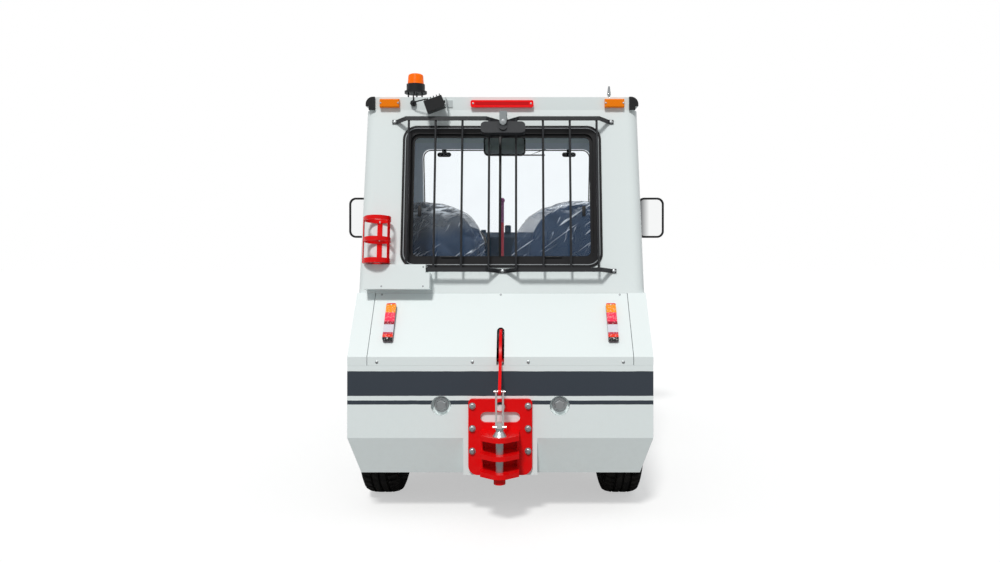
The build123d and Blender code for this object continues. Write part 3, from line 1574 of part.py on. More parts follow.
with BuildPart() as work_lamp:
    with Locations(Pos(*lamp_at) * Rot(0, -lamp_roll, 0)):
        Box(*lamp_size)
        for fin in range(fin_count):
            with Locations((lamp_size[0] * ((fin + 0.5) / fin_count - 0.5), 0, lamp_size[2] / 2 + 4)):
                Box(4, lamp_size[1] - 8, 12)
    # Bracket at its higher end, on the roof's rear face.
    with Locations((lamp_at[0] + 58, (y_fascia + lamp_at[1] - 16) / 2, lamp_at[2] + 17)):
        Box(4, y_fascia - lamp_at[1] + 16, 38)
    with Locations((lamp_at[0] + 72, y_fascia - 2, lamp_at[2] + 17)):
        Box(32, 4, 38)
    with Locations((lamp_at[0] + 50, lamp_at[1], lamp_at[2] + 17)):
        Cylinder(7, 24, rotation=(0, 90, 0))
    with Locations((grommet_at[0], y_fascia - grommet_deep / 2, grommet_at[2])):
        Cylinder(16, grommet_deep, rotation=(90, 0, 0))
    for points, bend in lead_runs:
        with BuildLine() as run:
            FilletPolyline(*points, radius=bend)
        with BuildSketch(Plane(origin=run.line @ 0, z_dir=run.line % 0)):
            Circle(lead)
        sweep(path=run.line)
write(work_lamp, "work_lamp")

antenna_at = (half - 157.0, y_wall + 295.0)
with BuildPart() as antenna:
    with BuildSketch(at_y(antenna_at[1])):
        Polygon(
            (antenna_at[0], roof_height + seat_fit),
            (antenna_at[0] + 18, roof_height + seat_fit),
            (antenna_at[0] + 15, roof_height + 9),
            (antenna_at[0] + 7, roof_height + 11),
            (antenna_at[0] + 7, roof_height + 36),
            (antenna_at[0] + 11, roof_height + 38),
            (antenna_at[0] + 5, roof_height + 87),
            (antenna_at[0], roof_height + 87),
            align=None,
        )
    revolve(axis=Axis((*antenna_at, 0), (0, 0, 1)))
write(antenna, "antenna")

# ---------------------------------------------------------------------------------------------
# Mirrors and windscreen fittings
# ---------------------------------------------------------------------------------------------
mirror_y = y_door_front + 60.0
mirror_x = half + 290.0
mirror_z = waist_height + 441.0
mirror_size = (190.0, 290.0)
mirror_deep = 54.0
mirror_rim = 14.0
mirror_glass = 3.0
pocket = 7.0
hitch_mirror_size = (232.0, 80.0)
hitch_mirror_deep = 22.0
hitch_mirror_x = 8.0
hitch_mirror_z = eave - 118.0
hitch_mirror_off = 115.0  # behind the rear wall
hitch_mirror_tilt = 35.0  # degrees, its glass looks forwards and down
mirror_arm_z = eave - 31.0
mirror_arm_out = 148.0
hitch_mirror_plane = Plane(
    origin=(hitch_mirror_x, rear_wall_y(hitch_mirror_z) - hitch_mirror_off, hitch_mirror_z),
    x_dir=(-1, 0, 0),
    z_dir=(0, cos(radians(hitch_mirror_tilt)), -sin(radians(hitch_mirror_tilt))),
)
cab_mirror_at = (-5.0, y_wall + 1100.0, eave - 75.0)
cab_mirror_size = (277.0, 131.0)
cab_mirror_deep = 30.0

with BuildPart() as side_mirrors:
    with BuildSketch(at_y(mirror_y - mirror_deep / 2)):
        with Locations((-mirror_x, mirror_z), (mirror_x, mirror_z)):
            RectangleRounded(*mirror_size, 48)
    extrude(amount=-mirror_deep)
    with BuildSketch(at_y(mirror_y - mirror_deep / 2)):
        with Locations((-mirror_x, mirror_z), (mirror_x, mirror_z)):
            RectangleRounded(mirror_size[0] - 2 * mirror_rim, mirror_size[1] - 2 * mirror_rim, 36)
    extrude(amount=-pocket, mode=Mode.SUBTRACT)
    for side in (-1, 1):
        for z in (mirror_z - 91, mirror_z + 79):
            x_arm_in, x_arm_out = side_x(z) + seat_fit, mirror_x - mirror_size[0] / 2 + 4
            with Locations((side * (x_arm_in + x_arm_out) / 2, mirror_y, z)):
                Cylinder(9, x_arm_out - x_arm_in, rotation=(0, 90, 0))
write(side_mirrors, "side_mirrors")

with BuildPart() as hitch_mirror:
    y_arm = rear_wall_y(mirror_arm_z)
    # Strip bent out from the wall and down, with a rounded end.
    with BuildSketch(rear_plane.offset(seat_fit)):
        with Locations((hitch_mirror_x, up_rear(mirror_arm_z + 8))):
            Rectangle(37, 22)
    extrude(amount=4)
    with Locations((hitch_mirror_x, y_arm - mirror_arm_out / 2 - 1, mirror_arm_z)):
        Box(37, mirror_arm_out - 2, 4)
    with Locations((hitch_mirror_x, y_arm - mirror_arm_out + 2, mirror_arm_z + 2 - 27)):
        Box(37, 4, 54)
    with BuildSketch(at_y(y_arm - mirror_arm_out + 4)):
        with Locations((hitch_mirror_x, mirror_arm_z - 52)):
            Circle(18.5)
    extrude(amount=4)
    # Stalk and socket that the mirror's head turns on.
    with Locations((hitch_mirror_x, y_arm - mirror_arm_out + 8, mirror_arm_z - 74)):
        Box(16, 10, 60)
    with BuildSketch(hitch_mirror_plane.offset(-hitch_mirror_deep / 2)):
        with Locations((0, -6)):
            Circle(21)
    extrude(amount=-8)
    with BuildSketch(hitch_mirror_plane):
        RectangleRounded(*hitch_mirror_size, 25)
    extrude(amount=hitch_mirror_deep / 2, both=True)
    with BuildSketch(hitch_mirror_plane.offset(hitch_mirror_deep / 2)):
        RectangleRounded(hitch_mirror_size[0] - 12, hitch_mirror_size[1] - 12, 20)
    extrude(amount=-mirror_glass, mode=Mode.SUBTRACT)
write(hitch_mirror, "hitch_mirror")

bracket_x = screen_half - 155.0
bracket_up = up_screen(eave - 77.0)
with BuildPart() as windscreen_fittings:
    # Clamps that hold the pane at its top corners.
    with BuildSketch(screen_plane.offset(-8 + seat_fit)):
        for side in (-1, 1):
            with Locations((side * bracket_x, bracket_up)):
                SlotOverall(100, 33)
    extrude(amount=10)
    with BuildSketch(screen_plane.offset(seat_fit)):
        for side in (-1, 1):
            with Locations((side * bracket_x, bracket_up + 31)):
                Rectangle(33, 60)
    extrude(amount=2)
    # Wiper parked along the top edge: blade, arm and pivot above the pane.
    with BuildSketch(screen_plane.offset(-8 + seat_fit)):
        with Locations((-170, bracket_up - 3)):
            Rectangle(217, 9)
    extrude(amount=14)
    with BuildSketch(screen_plane.offset(seat_fit)):
        Polygon(
            (-164, bracket_up - 4),
            (-176, bracket_up + 1),
            (-326, bracket_up + 62),
            (-320, bracket_up + 48),
            align=None,
        )
        with Locations((-323, bracket_up + 55)):
            Circle(14)
    extrude(amount=8)
    # Cab mirror hanging from the roof.
    with BuildSketch(at_y(cab_mirror_at[1] - cab_mirror_deep / 2)):
        with Locations((cab_mirror_at[0], cab_mirror_at[2])):
            RectangleRounded(*cab_mirror_size, 30)
    extrude(amount=-cab_mirror_deep)
    with BuildSketch(at_y(cab_mirror_at[1] - cab_mirror_deep / 2)):
        with Locations((cab_mirror_at[0], cab_mirror_at[2])):
            RectangleRounded(cab_mirror_size[0] - 20, cab_mirror_size[1] - 20, 22)
    extrude(amount=-mirror_glass, mode=Mode.SUBTRACT)
    stem = roof_height - panel - seat_fit - cab_mirror_at[2]
    with Locations((cab_mirror_at[0], cab_mirror_at[1] + 4, cab_mirror_at[2] + stem / 2)):
        Cylinder(7, stem)
write(windscreen_fittings, "windscreen_fittings")

side_pocket = at_y(mirror_y - mirror_deep / 2 + pocket - seat_fit)
hitch_pocket = hitch_mirror_plane.offset(hitch_mirror_deep / 2 - mirror_glass + seat_fit)
cab_pocket = at_y(cab_mirror_at[1] - cab_mirror_deep / 2 + mirror_glass - seat_fit)
pane_table = [
    # plane of the pocket's floor, centre in it, size of the mirror, its border, corner
    (side_pocket, (-mirror_x, mirror_z), mirror_size, 2 * mirror_rim, 35),
    (side_pocket, (mirror_x, mirror_z), mirror_size, 2 * mirror_rim, 35),
    (hitch_pocket, (0, 0), hitch_mirror_size, 12, 19),
    (cab_pocket, (cab_mirror_at[0], cab_mirror_at[2]), cab_mirror_size, 20, 21),
]
with BuildPart() as mirror_panes:
    for pane_plane, centre, head, border, pane_corner in pane_table:
        with BuildSketch(pane_plane):
            with Locations(centre):
                RectangleRounded(head[0] - border - 2 * seat_fit, head[1] - border - 2 * seat_fit, pane_corner)
        extrude(amount=mirror_glass - seat_fit)
write(mirror_panes, "mirror_panes")
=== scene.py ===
import math

import bmesh
import bpy
from mathutils import Matrix, Vector, noise


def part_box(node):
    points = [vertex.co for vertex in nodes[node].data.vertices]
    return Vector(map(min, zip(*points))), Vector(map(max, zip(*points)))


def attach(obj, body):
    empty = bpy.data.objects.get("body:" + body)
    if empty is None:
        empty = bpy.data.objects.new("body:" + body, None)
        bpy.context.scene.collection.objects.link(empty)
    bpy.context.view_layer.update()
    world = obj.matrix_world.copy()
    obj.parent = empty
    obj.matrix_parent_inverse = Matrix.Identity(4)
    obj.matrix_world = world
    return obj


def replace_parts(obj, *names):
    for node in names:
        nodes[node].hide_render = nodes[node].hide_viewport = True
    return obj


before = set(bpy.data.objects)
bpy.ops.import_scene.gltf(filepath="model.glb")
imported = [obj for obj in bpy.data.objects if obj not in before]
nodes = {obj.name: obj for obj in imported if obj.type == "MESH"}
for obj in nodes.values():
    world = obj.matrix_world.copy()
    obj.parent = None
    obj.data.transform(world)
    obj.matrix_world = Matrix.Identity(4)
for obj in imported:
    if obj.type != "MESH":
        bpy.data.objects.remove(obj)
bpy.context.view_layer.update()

# ---- Places taken from the frame, in metres ----
REAR_LEAN = math.radians(8.7)
SCREEN_LEAN = math.radians(10.0)
LEAN_IN = math.radians(1.0)
ballast_low, ballast_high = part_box("rear_counterweight")
REAR = ballast_low.y
HALF = ballast_high.x
WAIST = 1.1
CAB_SETBACK = 0.23  # from the ballast's rear face to the cab's rear wall at the waist
WALL_Y = REAR + CAB_SETBACK
SLOPE_FOOT = 0.803  # height where the cover's slope begins
SCREEN_Y = WALL_Y + 1.75
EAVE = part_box("roof")[0].z
ROOF_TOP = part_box("roof")[1].z
FASCIA_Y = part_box("roof")[0].y
WALL_UP = Vector((0, math.sin(REAR_LEAN), math.cos(REAR_LEAN)))
WALL_OUT = Vector((0, -math.cos(REAR_LEAN), math.sin(REAR_LEAN)))
SLOPE_UP = Vector((0, CAB_SETBACK, WAIST - SLOPE_FOOT)).normalized()
SLOPE_OUT = Vector((0, -SLOPE_UP.z, SLOPE_UP.y))
RIGHT = Vector((1, 0, 0))


def on_wall(x, z, off=0.0):
    """Point on the cab's rear wall at height z, off metres outside it."""
    return Vector((x, WALL_Y, WAIST)) + WALL_UP * ((z - WAIST) / math.cos(REAR_LEAN)) + WALL_OUT * off


def on_slope(x, up, off=0.0):
    return Vector((x, REAR, SLOPE_FOOT)) + SLOPE_UP * up + SLOPE_OUT * off


def rear_wall_y(z):
    return WALL_Y + (z - WAIST) * math.tan(REAR_LEAN)


def side_x(z):
    return HALF - max(0.0, z - WAIST) * math.tan(LEAN_IN)


# ---- Materials ----
def shade(r, g, b):
    """Linear colour of a display colour given from 0 to 255."""
    channels = (((c / 255 + 0.055) / 1.055) ** 2.4 if c > 10 else c / 255 / 12.92 for c in (r, g, b))
    return tuple(channels) + (1.0,)


def scaled(color, factor):
    return tuple(c * factor for c in color[:3]) + (1,)


class Net:
    """A node tree with short ways to add and join nodes."""

    def __init__(self, tree):
        self.tree = tree

    def add(self, kind, **settings):
        made = self.tree.nodes.new(kind)
        for name, value in settings.items():
            setattr(made, name, value)
        return made

    def put(self, socket, value):
        if isinstance(value, bpy.types.NodeSocket):
            self.tree.links.new(value, socket)
        elif value is not None:
            socket.default_value = value

    def math(self, operation, a, b=None, c=None, clamp=False):
        made = self.add("ShaderNodeMath", operation=operation, use_clamp=clamp)
        for socket, value in zip(made.inputs, (a, b, c)):
            self.put(socket, value)
        return made.outputs[0]

    def times(self, a, b, clamp=False):
        return self.math("MULTIPLY", a, b, clamp=clamp)

    def mix(self, factor, a, b, blend="MIX"):
        made = self.add("ShaderNodeMix", data_type="RGBA", blend_type=blend)
        self.put(made.inputs[0], factor)
        self.put(made.inputs[6], a)
        self.put(made.inputs[7], b)
        return made.outputs[2]

    def place(self):
        return self.add("ShaderNodeTexCoord").outputs["Object"]

    def axes(self, vector=None):
        made = self.add("ShaderNodeSeparateXYZ")
        self.put(made.inputs[0], vector or self.place())
        return made.outputs

    def along(self, origin, direction):
        """Distance along a direction from an origin."""
        offset = self.add("ShaderNodeVectorMath", operation="SUBTRACT")
        self.put(offset.inputs[0], self.place())
        offset.inputs[1].default_value = origin
        dot = self.add("ShaderNodeVectorMath", operation="DOT_PRODUCT")
        self.put(dot.inputs[0], offset.outputs[0])
        dot.inputs[1].default_value = direction
        return dot.outputs["Value"]

    def band(self, value, low, high):
        over_low = self.math("GREATER_THAN", value, low)
        return self.times(over_low, self.math("LESS_THAN", value, high))

    def waves(self, axis, pitch):
        return self.math("SINE", self.times(self.axes()[axis], pitch))

    def cells(self, scale):
        """Distance to the nearest of many scattered points."""
        made = self.add("ShaderNodeTexVoronoi", feature="F1")
        self.put(made.inputs["Vector"], self.place())
        made.inputs["Scale"].default_value = scale
        return made.outputs["Distance"]

    def noise(self, scale, detail=3.0, roughness=0.55, vector=None, distortion=0.0):
        made = self.add("ShaderNodeTexNoise")
        self.put(made.inputs["Vector"], vector or self.place())
        made.inputs["Scale"].default_value = scale
        made.inputs["Detail"].default_value = detail
        made.inputs["Roughness"].default_value = roughness
        made.inputs["Distortion"].default_value = distortion
        return made.outputs["Fac"]

    def span(self, value, low, high, to_low=0.0, to_high=1.0):
        made = self.add("ShaderNodeMapRange")
        self.put(made.inputs[0], value)
        for socket, number in zip(made.inputs[1:5], (low, high, to_low, to_high)):
            self.put(socket, number)
        return made.outputs[0]


def shared_group(name, inputs, outputs):
    tree = bpy.data.node_groups.new(name, "ShaderNodeTree")
    for label, kind, value in inputs:
        made = tree.interface.new_socket(label, in_out="INPUT", socket_type=kind)
        made.default_value = value
    for label, kind in outputs:
        tree.interface.new_socket(label, in_out="OUTPUT", socket_type=kind)
    net = Net(tree)
    return net, net.add("NodeGroupInput").outputs, net.add("NodeGroupOutput").inputs


def build_weathered():
    """Slow tint and gloss changes, road dust that rises from below, and a fine grain for bump."""
    net, given, result = shared_group(
        "weathered",
        [
            ("Color", "NodeSocketColor", (0.8, 0.8, 0.8, 1)),
            ("Tint", "NodeSocketColor", (0.7, 0.7, 0.7, 1)),
            ("Mottle", "NodeSocketFloat", 0.3),
            ("Dust", "NodeSocketFloat", 0.3),
            ("Roughness", "NodeSocketFloat", 0.4),
            ("Grain", "NodeSocketFloat", 220.0),
        ],
        [("Color", "NodeSocketColor"), ("Roughness", "NodeSocketFloat"), ("Height", "NodeSocketFloat")],
    )
    slow = net.noise(2.6, 4.0)
    fine = net.add("ShaderNodeTexNoise")
    net.put(fine.inputs["Vector"], net.place())
    net.put(fine.inputs["Scale"], given["Grain"])
    fine.inputs["Detail"].default_value = 2.0
    spots = net.noise(31.0, 5.0, 0.7)
    mottled = net.times(net.span(slow, 0.35, 0.7), given["Mottle"])
    tinted = net.mix(mottled, given["Color"], given["Tint"])
    low = net.span(net.axes()["Z"], 0.15, 0.75, 1.0, 0.0)
    settled = net.times(low, net.span(spots, 0.4, 0.75))
    dust = net.times(settled, given["Dust"], clamp=True)
    net.put(result["Color"], net.mix(dust, tinted, (0.33, 0.30, 0.26, 1)))
    rough = net.math("MULTIPLY_ADD", net.math("SUBTRACT", slow, 0.5), 0.18, given["Roughness"])
    net.put(result["Roughness"], net.math("MULTIPLY_ADD", dust, 0.3, rough, clamp=True))
    net.put(result["Height"], fine.outputs["Fac"])
    return net.tree


def build_chips():
    """Mask of small chips and rubbed places."""
    net, given, result = shared_group(
        "chips", [("Amount", "NodeSocketFloat", 0.3), ("Size", "NodeSocketFloat", 40.0)],
        [("Mask", "NodeSocketFloat")]
    )
    cells = net.add("ShaderNodeTexNoise")
    net.put(cells.inputs["Vector"], net.place())
    net.put(cells.inputs["Scale"], given["Size"])
    cells.inputs["Detail"].default_value = 6.0
    edge = net.math("SUBTRACT", 0.78, net.times(given["Amount"], 0.3))
    net.put(result["Mask"], net.span(cells.outputs["Fac"], edge, net.math("ADD", edge, 0.03)))
    return net.tree


def build_weave():
    """Two crossing yarn directions for cloth."""
    net, given, result = shared_group(
        "weave", [("Threads", "NodeSocketFloat", 900.0)],
        [("Height", "NodeSocketFloat"), ("Mask", "NodeSocketFloat")]
    )
    x, y, z = net.axes()
    wave_a = net.math("SINE", net.times(net.math("ADD", x, y), given["Threads"]))
    wave_b = net.math("SINE", net.times(net.math("SUBTRACT", z, y), given["Threads"]))
    both = net.math("MAXIMUM", wave_a, wave_b)
    net.put(result["Height"], both)
    net.put(result["Mask"], net.span(both, -1, 1, 0.7, 1.0))
    return net.tree


def build_stripes():
    """Mask of the broad and the narrow band painted round the body's outside."""
    net, given, result = shared_group(
        "stripes", [("Half Width", "NodeSocketFloat", 0.75), ("Rear Face", "NodeSocketFloat", 0.0)],
        [("Mask", "NodeSocketFloat")]
    )
    x, y, z = net.axes()
    wobble = net.times(net.math("SUBTRACT", net.noise(9.0), 0.5), 0.004)
    height = net.math("ADD", z, wobble)
    bands = net.math("ADD", net.band(height, 0.612, 0.733), net.band(height, 0.570, 0.590))
    side = net.math("GREATER_THAN", net.math("ABSOLUTE", x), net.math("SUBTRACT", given["Half Width"], 0.002))
    rear = net.math("LESS_THAN", y, net.math("ADD", given["Rear Face"], 0.002))
    net.put(result["Mask"], net.times(bands, net.math("MAXIMUM", side, rear), clamp=True))
    return net.tree


def build_inside():
    """Mask of the faces that look into the cab, from the four leaning planes of its walls."""
    net, given, result = shared_group(
        "cab_inside", [("Depth", "NodeSocketFloat", 0.03)], [("Mask", "NodeSocketFloat")]
    )
    x, y, z = net.axes()
    taper = net.times(net.math("SUBTRACT", z, WAIST), math.tan(LEAN_IN))
    side = net.math("LESS_THAN", net.math("ADD", net.math("ABSOLUTE", x), taper),
                    net.math("SUBTRACT", HALF, given["Depth"]))
    ahead = net.math("GREATER_THAN", net.along((0, WALL_Y, WAIST), -WALL_OUT), given["Depth"])
    screen_in = (0, -math.cos(SCREEN_LEAN), -math.sin(SCREEN_LEAN))
    behind = net.math("GREATER_THAN", net.along((0, SCREEN_Y, WAIST), screen_in), given["Depth"])
    net.put(result["Mask"], net.times(net.times(side, ahead), behind))
    return net.tree


def build_prisms():
    """Small square prisms moulded behind a lens."""
    net, given, result = shared_group(
        "lens_prisms", [("Pitch", "NodeSocketFloat", 400.0)],
        [("Height", "NodeSocketFloat"), ("Mask", "NodeSocketFloat")]
    )
    x, y, z = net.axes()
    waves = [net.math("SINE", net.times(axis, given["Pitch"])) for axis in (x, z)]
    prisms = net.times(*waves)
    net.put(result["Height"], prisms)
    # The mask marks the prisms' tops, where a lens is painted lighter: a painted glint.
    net.put(result["Mask"], net.span(prisms, 0.2, 1.0, 0.0, 0.3))
    return net.tree


WEATHERED = build_weathered()
CHIPS = build_chips()
WEAVE = build_weave()
STRIPES = build_stripes()
INSIDE = build_inside()
PRISMS = build_prisms()


class Finish:
    """A material with a Principled shader fed by the weathered group."""

    def __init__(self, name, color, tint, roughness, mottle, dust, grain, bump, metallic=0.0, coat=0.0,
                 specular=0.5):
        self.material = bpy.data.materials.new(name)
        self.material.use_nodes = True
        self.material.diffuse_color = color
        self.net = Net(self.material.node_tree)
        self.shader = self.material.node_tree.nodes["Principled BSDF"]
        weathered = self.effect(WEATHERED, Color=color, Tint=tint, Mottle=mottle, Dust=dust,
                                Roughness=roughness, Grain=grain)
        self.color(weathered["Color"])
        self.net.put(self.shader.inputs["Roughness"], weathered["Roughness"])
        self.shader.inputs["Metallic"].default_value = metallic
        self.shader.inputs["Coat Weight"].default_value = coat
        self.shader.inputs["Coat Roughness"].default_value = 0.12
        self.shader.inputs["Specular IOR Level"].default_value = specular
        self.bump_node = self.net.add("ShaderNodeBump")
        self.bump_node.inputs["Strength"].default_value = 0.6
        self.bump_node.inputs["Distance"].default_value = bump / 20
        self.net.put(self.bump_node.inputs["Height"], weathered["Height"])
        self.net.put(self.shader.inputs["Normal"], self.bump_node.outputs[0])

    def color(self, socket):
        self.current = socket
        self.net.put(self.shader.inputs["Base Color"], socket)

    def over(self, mask, color):
        """Lays another colour over the present one where the mask is 1."""
        self.color(self.net.mix(mask, self.current, color))

    def effect(self, tree, **values):
        """A shared effect placed in this material with its own values."""
        made = self.net.add("ShaderNodeGroup", node_tree=tree)
        for label, value in values.items():
            made.inputs[label.replace("_", " ")].default_value = value
        return made.outputs

    def chips(self, amount, size, color):
        self.over(self.effect(CHIPS, Amount=amount, Size=size)["Mask"], color)

    def stripes(self):
        self.over(self.effect(STRIPES, Half_Width=HALF, Rear_Face=REAR)["Mask"], STRIPE)

    def lining(self, color=None):
        """Gray trim on faces that look into the cab."""
        self.over(self.effect(INSIDE, Depth=0.03)["Mask"], color or LINING)

    def relief(self, height, distance, strength=0.8):
        """A second, larger relief on top of the fine grain."""
        made = self.net.add("ShaderNodeBump")
        made.inputs["Strength"].default_value = strength
        made.inputs["Distance"].default_value = distance
        self.net.put(made.inputs["Height"], height)
        self.net.put(made.inputs["Normal"], self.bump_node.outputs[0])
        self.net.put(self.shader.inputs["Normal"], made.outputs[0])


def ramp(net, value, stops):
    """Colour steps, each from its position upwards."""
    made = net.add("ShaderNodeValToRGB")
    made.color_ramp.interpolation = "CONSTANT"
    while len(made.color_ramp.elements) < len(stops):
        made.color_ramp.elements.new(1.0)
    for element, (position, color) in zip(made.color_ramp.elements, stops):
        element.position = position
        element.color = color
    net.put(made.inputs[0], value)
    return made.outputs[0]


WHITE = shade(229, 237, 237)
WHITE_TINT = shade(226, 234, 234)
STRIPE = shade(56, 63, 72)
LINING = shade(228, 234, 242)
RED = shade(230, 6, 10)
RED_TINT = shade(214, 4, 8)
BLACK = shade(17, 18, 20)
BLACK_TINT = shade(30, 31, 33)
STEEL = shade(176, 180, 182)
RUST = shade(120, 84, 58)

materials = {}


def make(name, color, tint, **values):
    """Makes a finish and files its material under its name."""
    finish = Finish(name, color, tint, **values)
    materials[name] = finish.material
    return finish


def above(net, axis, height):
    return net.math("GREATER_THAN", net.axes()[axis], height)


def below(net, axis, height):
    return net.math("LESS_THAN", net.axes()[axis], height)


# Painted panels
WHITE_VALUES = dict(roughness=0.32, mottle=0.5, dust=0.06, grain=420, bump=0.006, coat=0.05, specular=0.3)
make("white_paint", WHITE, WHITE_TINT, **WHITE_VALUES)
make("striped_white_paint", WHITE, WHITE_TINT, **WHITE_VALUES).stripes()
make("cab_paint_and_lining", WHITE, WHITE_TINT, **WHITE_VALUES).lining()
door_paint = make("door_paint", WHITE, WHITE_TINT, **WHITE_VALUES)
door_paint.stripes()
door_paint.lining()
make("rim_paint", shade(222, 226, 226), shade(200, 200, 196),
     roughness=0.4, mottle=0.6, dust=1.0, grain=200, bump=0.02, coat=0.1)
make("bumper_paint", shade(50, 53, 57), shade(40, 42, 46),
     roughness=0.45, mottle=0.6, dust=0.15, grain=200, bump=0.03, specular=0.3)

RED_VALUES = dict(mottle=0.5, dust=0.04, grain=160, bump=0.01, coat=0.05, specular=0.15)
make("red_paint", RED, RED_TINT, roughness=0.28, **RED_VALUES).chips(0.12, 55.0, shade(120, 20, 18))
GLASS_HAZE_FOOT, FILM_HAZE_FOOT = 1.19, 1.47  # heights above which the lever is painted pink, a painted haze where it shows through the rear glass, and purple where its sleeve begins: the film's tint with that painted haze
lever_paint_and_haze = make("lever_paint_and_haze", RED, RED_TINT, roughness=0.3, **RED_VALUES)
# Painted haze: pink where the lever is seen through the rear glass, purple higher up under its film sleeve.
lever_paint_and_haze.over(above(lever_paint_and_haze.net, "Z", GLASS_HAZE_FOOT), shade(214, 74, 92))
lever_paint_and_haze.over(above(lever_paint_and_haze.net, "Z", FILM_HAZE_FOOT), shade(150, 86, 132))

# Metals
PIN_COLLAR = 0.487  # height above which the lifting rods are painted white
pin_steel = make("pin_steel", STEEL, shade(120, 120, 118),
                 roughness=0.3, metallic=0.9, mottle=0.8, dust=0.2, grain=300, bump=0.01)
pin_steel.over(above(pin_steel.net, "Z", PIN_COLLAR), shade(236, 236, 234))
make("zinc_bolts", STEEL, shade(140, 144, 146),
     roughness=0.35, metallic=0.85, mottle=0.8, dust=0.3, grain=260, bump=0.01).chips(0.2, 90.0, RUST)
make("gray_strip", shade(150, 155, 158), shade(128, 132, 136),
     roughness=0.45, metallic=0.3, mottle=0.6, dust=0.1, grain=260, bump=0.01)
make("chassis_black", BLACK_TINT, shade(44, 42, 39),
     roughness=0.55, mottle=0.7, dust=0.8, grain=120, bump=0.03).chips(0.1, 35.0, RUST)
make("guard_black", shade(30, 32, 36), shade(20, 21, 23),
     roughness=0.38, mottle=0.6, dust=0.05, grain=260, bump=0.01, specular=0.3)
make("iron_casting", shade(52, 54, 58), shade(40, 38, 36),
     roughness=0.65, mottle=0.8, dust=0.8, grain=140, bump=0.06)
spring = make("plated_spring", shade(190, 192, 194), shade(150, 152, 156),
              roughness=0.18, metallic=0.9, mottle=0.6, dust=0.0, grain=300, bump=0.004)
spring.relief(spring.net.waves("Z", 1600.0), 0.002)
spring.over(below(spring.net, "Z", ROOF_TOP + 0.036), shade(225, 228, 228))

# Plastics and rubber
make("black_plastic", BLACK, BLACK_TINT,
     roughness=0.45, mottle=0.5, dust=0.1, grain=900, bump=0.02, specular=0.25)
make("window_rubber", shade(16, 16, 18), shade(28, 28, 31),
     roughness=0.42, mottle=0.5, dust=0.05, grain=500, bump=0.01, specular=0.2)
make("wheel_grip", shade(24, 24, 26), shade(36, 36, 38),
     roughness=0.5, mottle=0.5, dust=0.0, grain=700, bump=0.03)
make("tyre_rubber", shade(11, 11, 11), shade(17, 16, 16),
     roughness=0.7, mottle=0.7, dust=0.06, grain=420, bump=0.03, specular=0.12)
make("dash_plastic", shade(76, 104, 132), shade(60, 86, 112),
     roughness=0.6, mottle=0.5, dust=0.0, grain=800, bump=0.03)

LAMP_BRACKET = 0.0322  # how far the work lamp's light gray bracket reaches in from its end
lamp_housing = make("lamp_housing", BLACK, BLACK_TINT,
                    roughness=0.45, mottle=0.5, dust=0.0, grain=500, bump=0.02, specular=0.25)
lamp_housing.over(above(lamp_housing.net, "X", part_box("work_lamp")[1].x - LAMP_BRACKET), shade(196, 203, 204))

hitch_mirror_low, hitch_mirror_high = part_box("hitch_mirror")
MIRROR_X = 0.008
STRIP_FACE, STRIP_TOP, STRIP_FOOT, STRIP_HALF = 0.0175, 0.02, 0.092, 0.019
mirror_housing = make("mirror_housing", shade(44, 46, 49), shade(34, 36, 39),
                      roughness=0.4, mottle=0.5, dust=0.0, grain=500, bump=0.02, specular=0.25)
arm = mirror_housing.net
beside = arm.math("ABSOLUTE", arm.math("SUBTRACT", arm.axes()["X"], MIRROR_X))
strip = arm.times(arm.math("LESS_THAN", beside, STRIP_HALF),
                  above(arm, "Z", hitch_mirror_high.z - STRIP_FOOT))
strip_outer = arm.math("MAXIMUM", below(arm, "Y", hitch_mirror_low.y + STRIP_FACE),
                       above(arm, "Z", hitch_mirror_high.z - STRIP_TOP))
mirror_housing.over(arm.times(strip, strip_outer), shade(146, 152, 154))

floor_mat = make("floor_mat", shade(58, 60, 63), shade(46, 47, 50),
                 roughness=0.7, mottle=0.7, dust=0.5, grain=260, bump=0.05)
checker = floor_mat.net.cells(45.0)
floor_mat.relief(floor_mat.net.span(checker, 0.15, 0.5, 1, 0), 0.002)
floor_mat.lining(shade(70, 74, 78))

# Seat cloth
cloth = make("seat_cloth", shade(44, 70, 98), shade(30, 50, 76),
             roughness=0.85, mottle=0.7, dust=0.0, grain=300, bump=0.02, specular=0.15)
yarn = cloth.effect(WEAVE, Threads=1500.0)
cloth.relief(yarn["Height"], 0.0006, 0.5)
cloth.color(cloth.net.mix(yarn["Mask"], scaled(shade(48, 74, 100), 0.6), cloth.current))
cloth.shader.inputs["Sheen Weight"].default_value = 0.2

# Side mirrors and the cab mirror
REFLECTION_DARK_OUTER, REFLECTION_DARK_INNER = 1.03, 0.965  # places across between which a side mirror's colour darkens, a painted reflection
mirror = make("mirror_silver", shade(246, 247, 247), shade(238, 240, 240),
              roughness=0.05, metallic=1.0, mottle=0.3, dust=0.0, grain=300, bump=0.0)
far = mirror.net.math("ABSOLUTE", mirror.net.axes()["X"])
# Side mirrors darken towards the cab: a painted reflection.
mirror.over(mirror.net.span(far, REFLECTION_DARK_OUTER, REFLECTION_DARK_INNER, 0.0, 1.0), shade(96, 98, 100))
# The cab mirror takes a dimmed gray instead, which also stands for its reflection.
cab_pane = mirror.net.times(mirror.net.math("LESS_THAN", far, 0.5),
                            above(mirror.net, "Y", WALL_Y + 0.5))
mirror.over(cab_pane, shade(178, 180, 174))


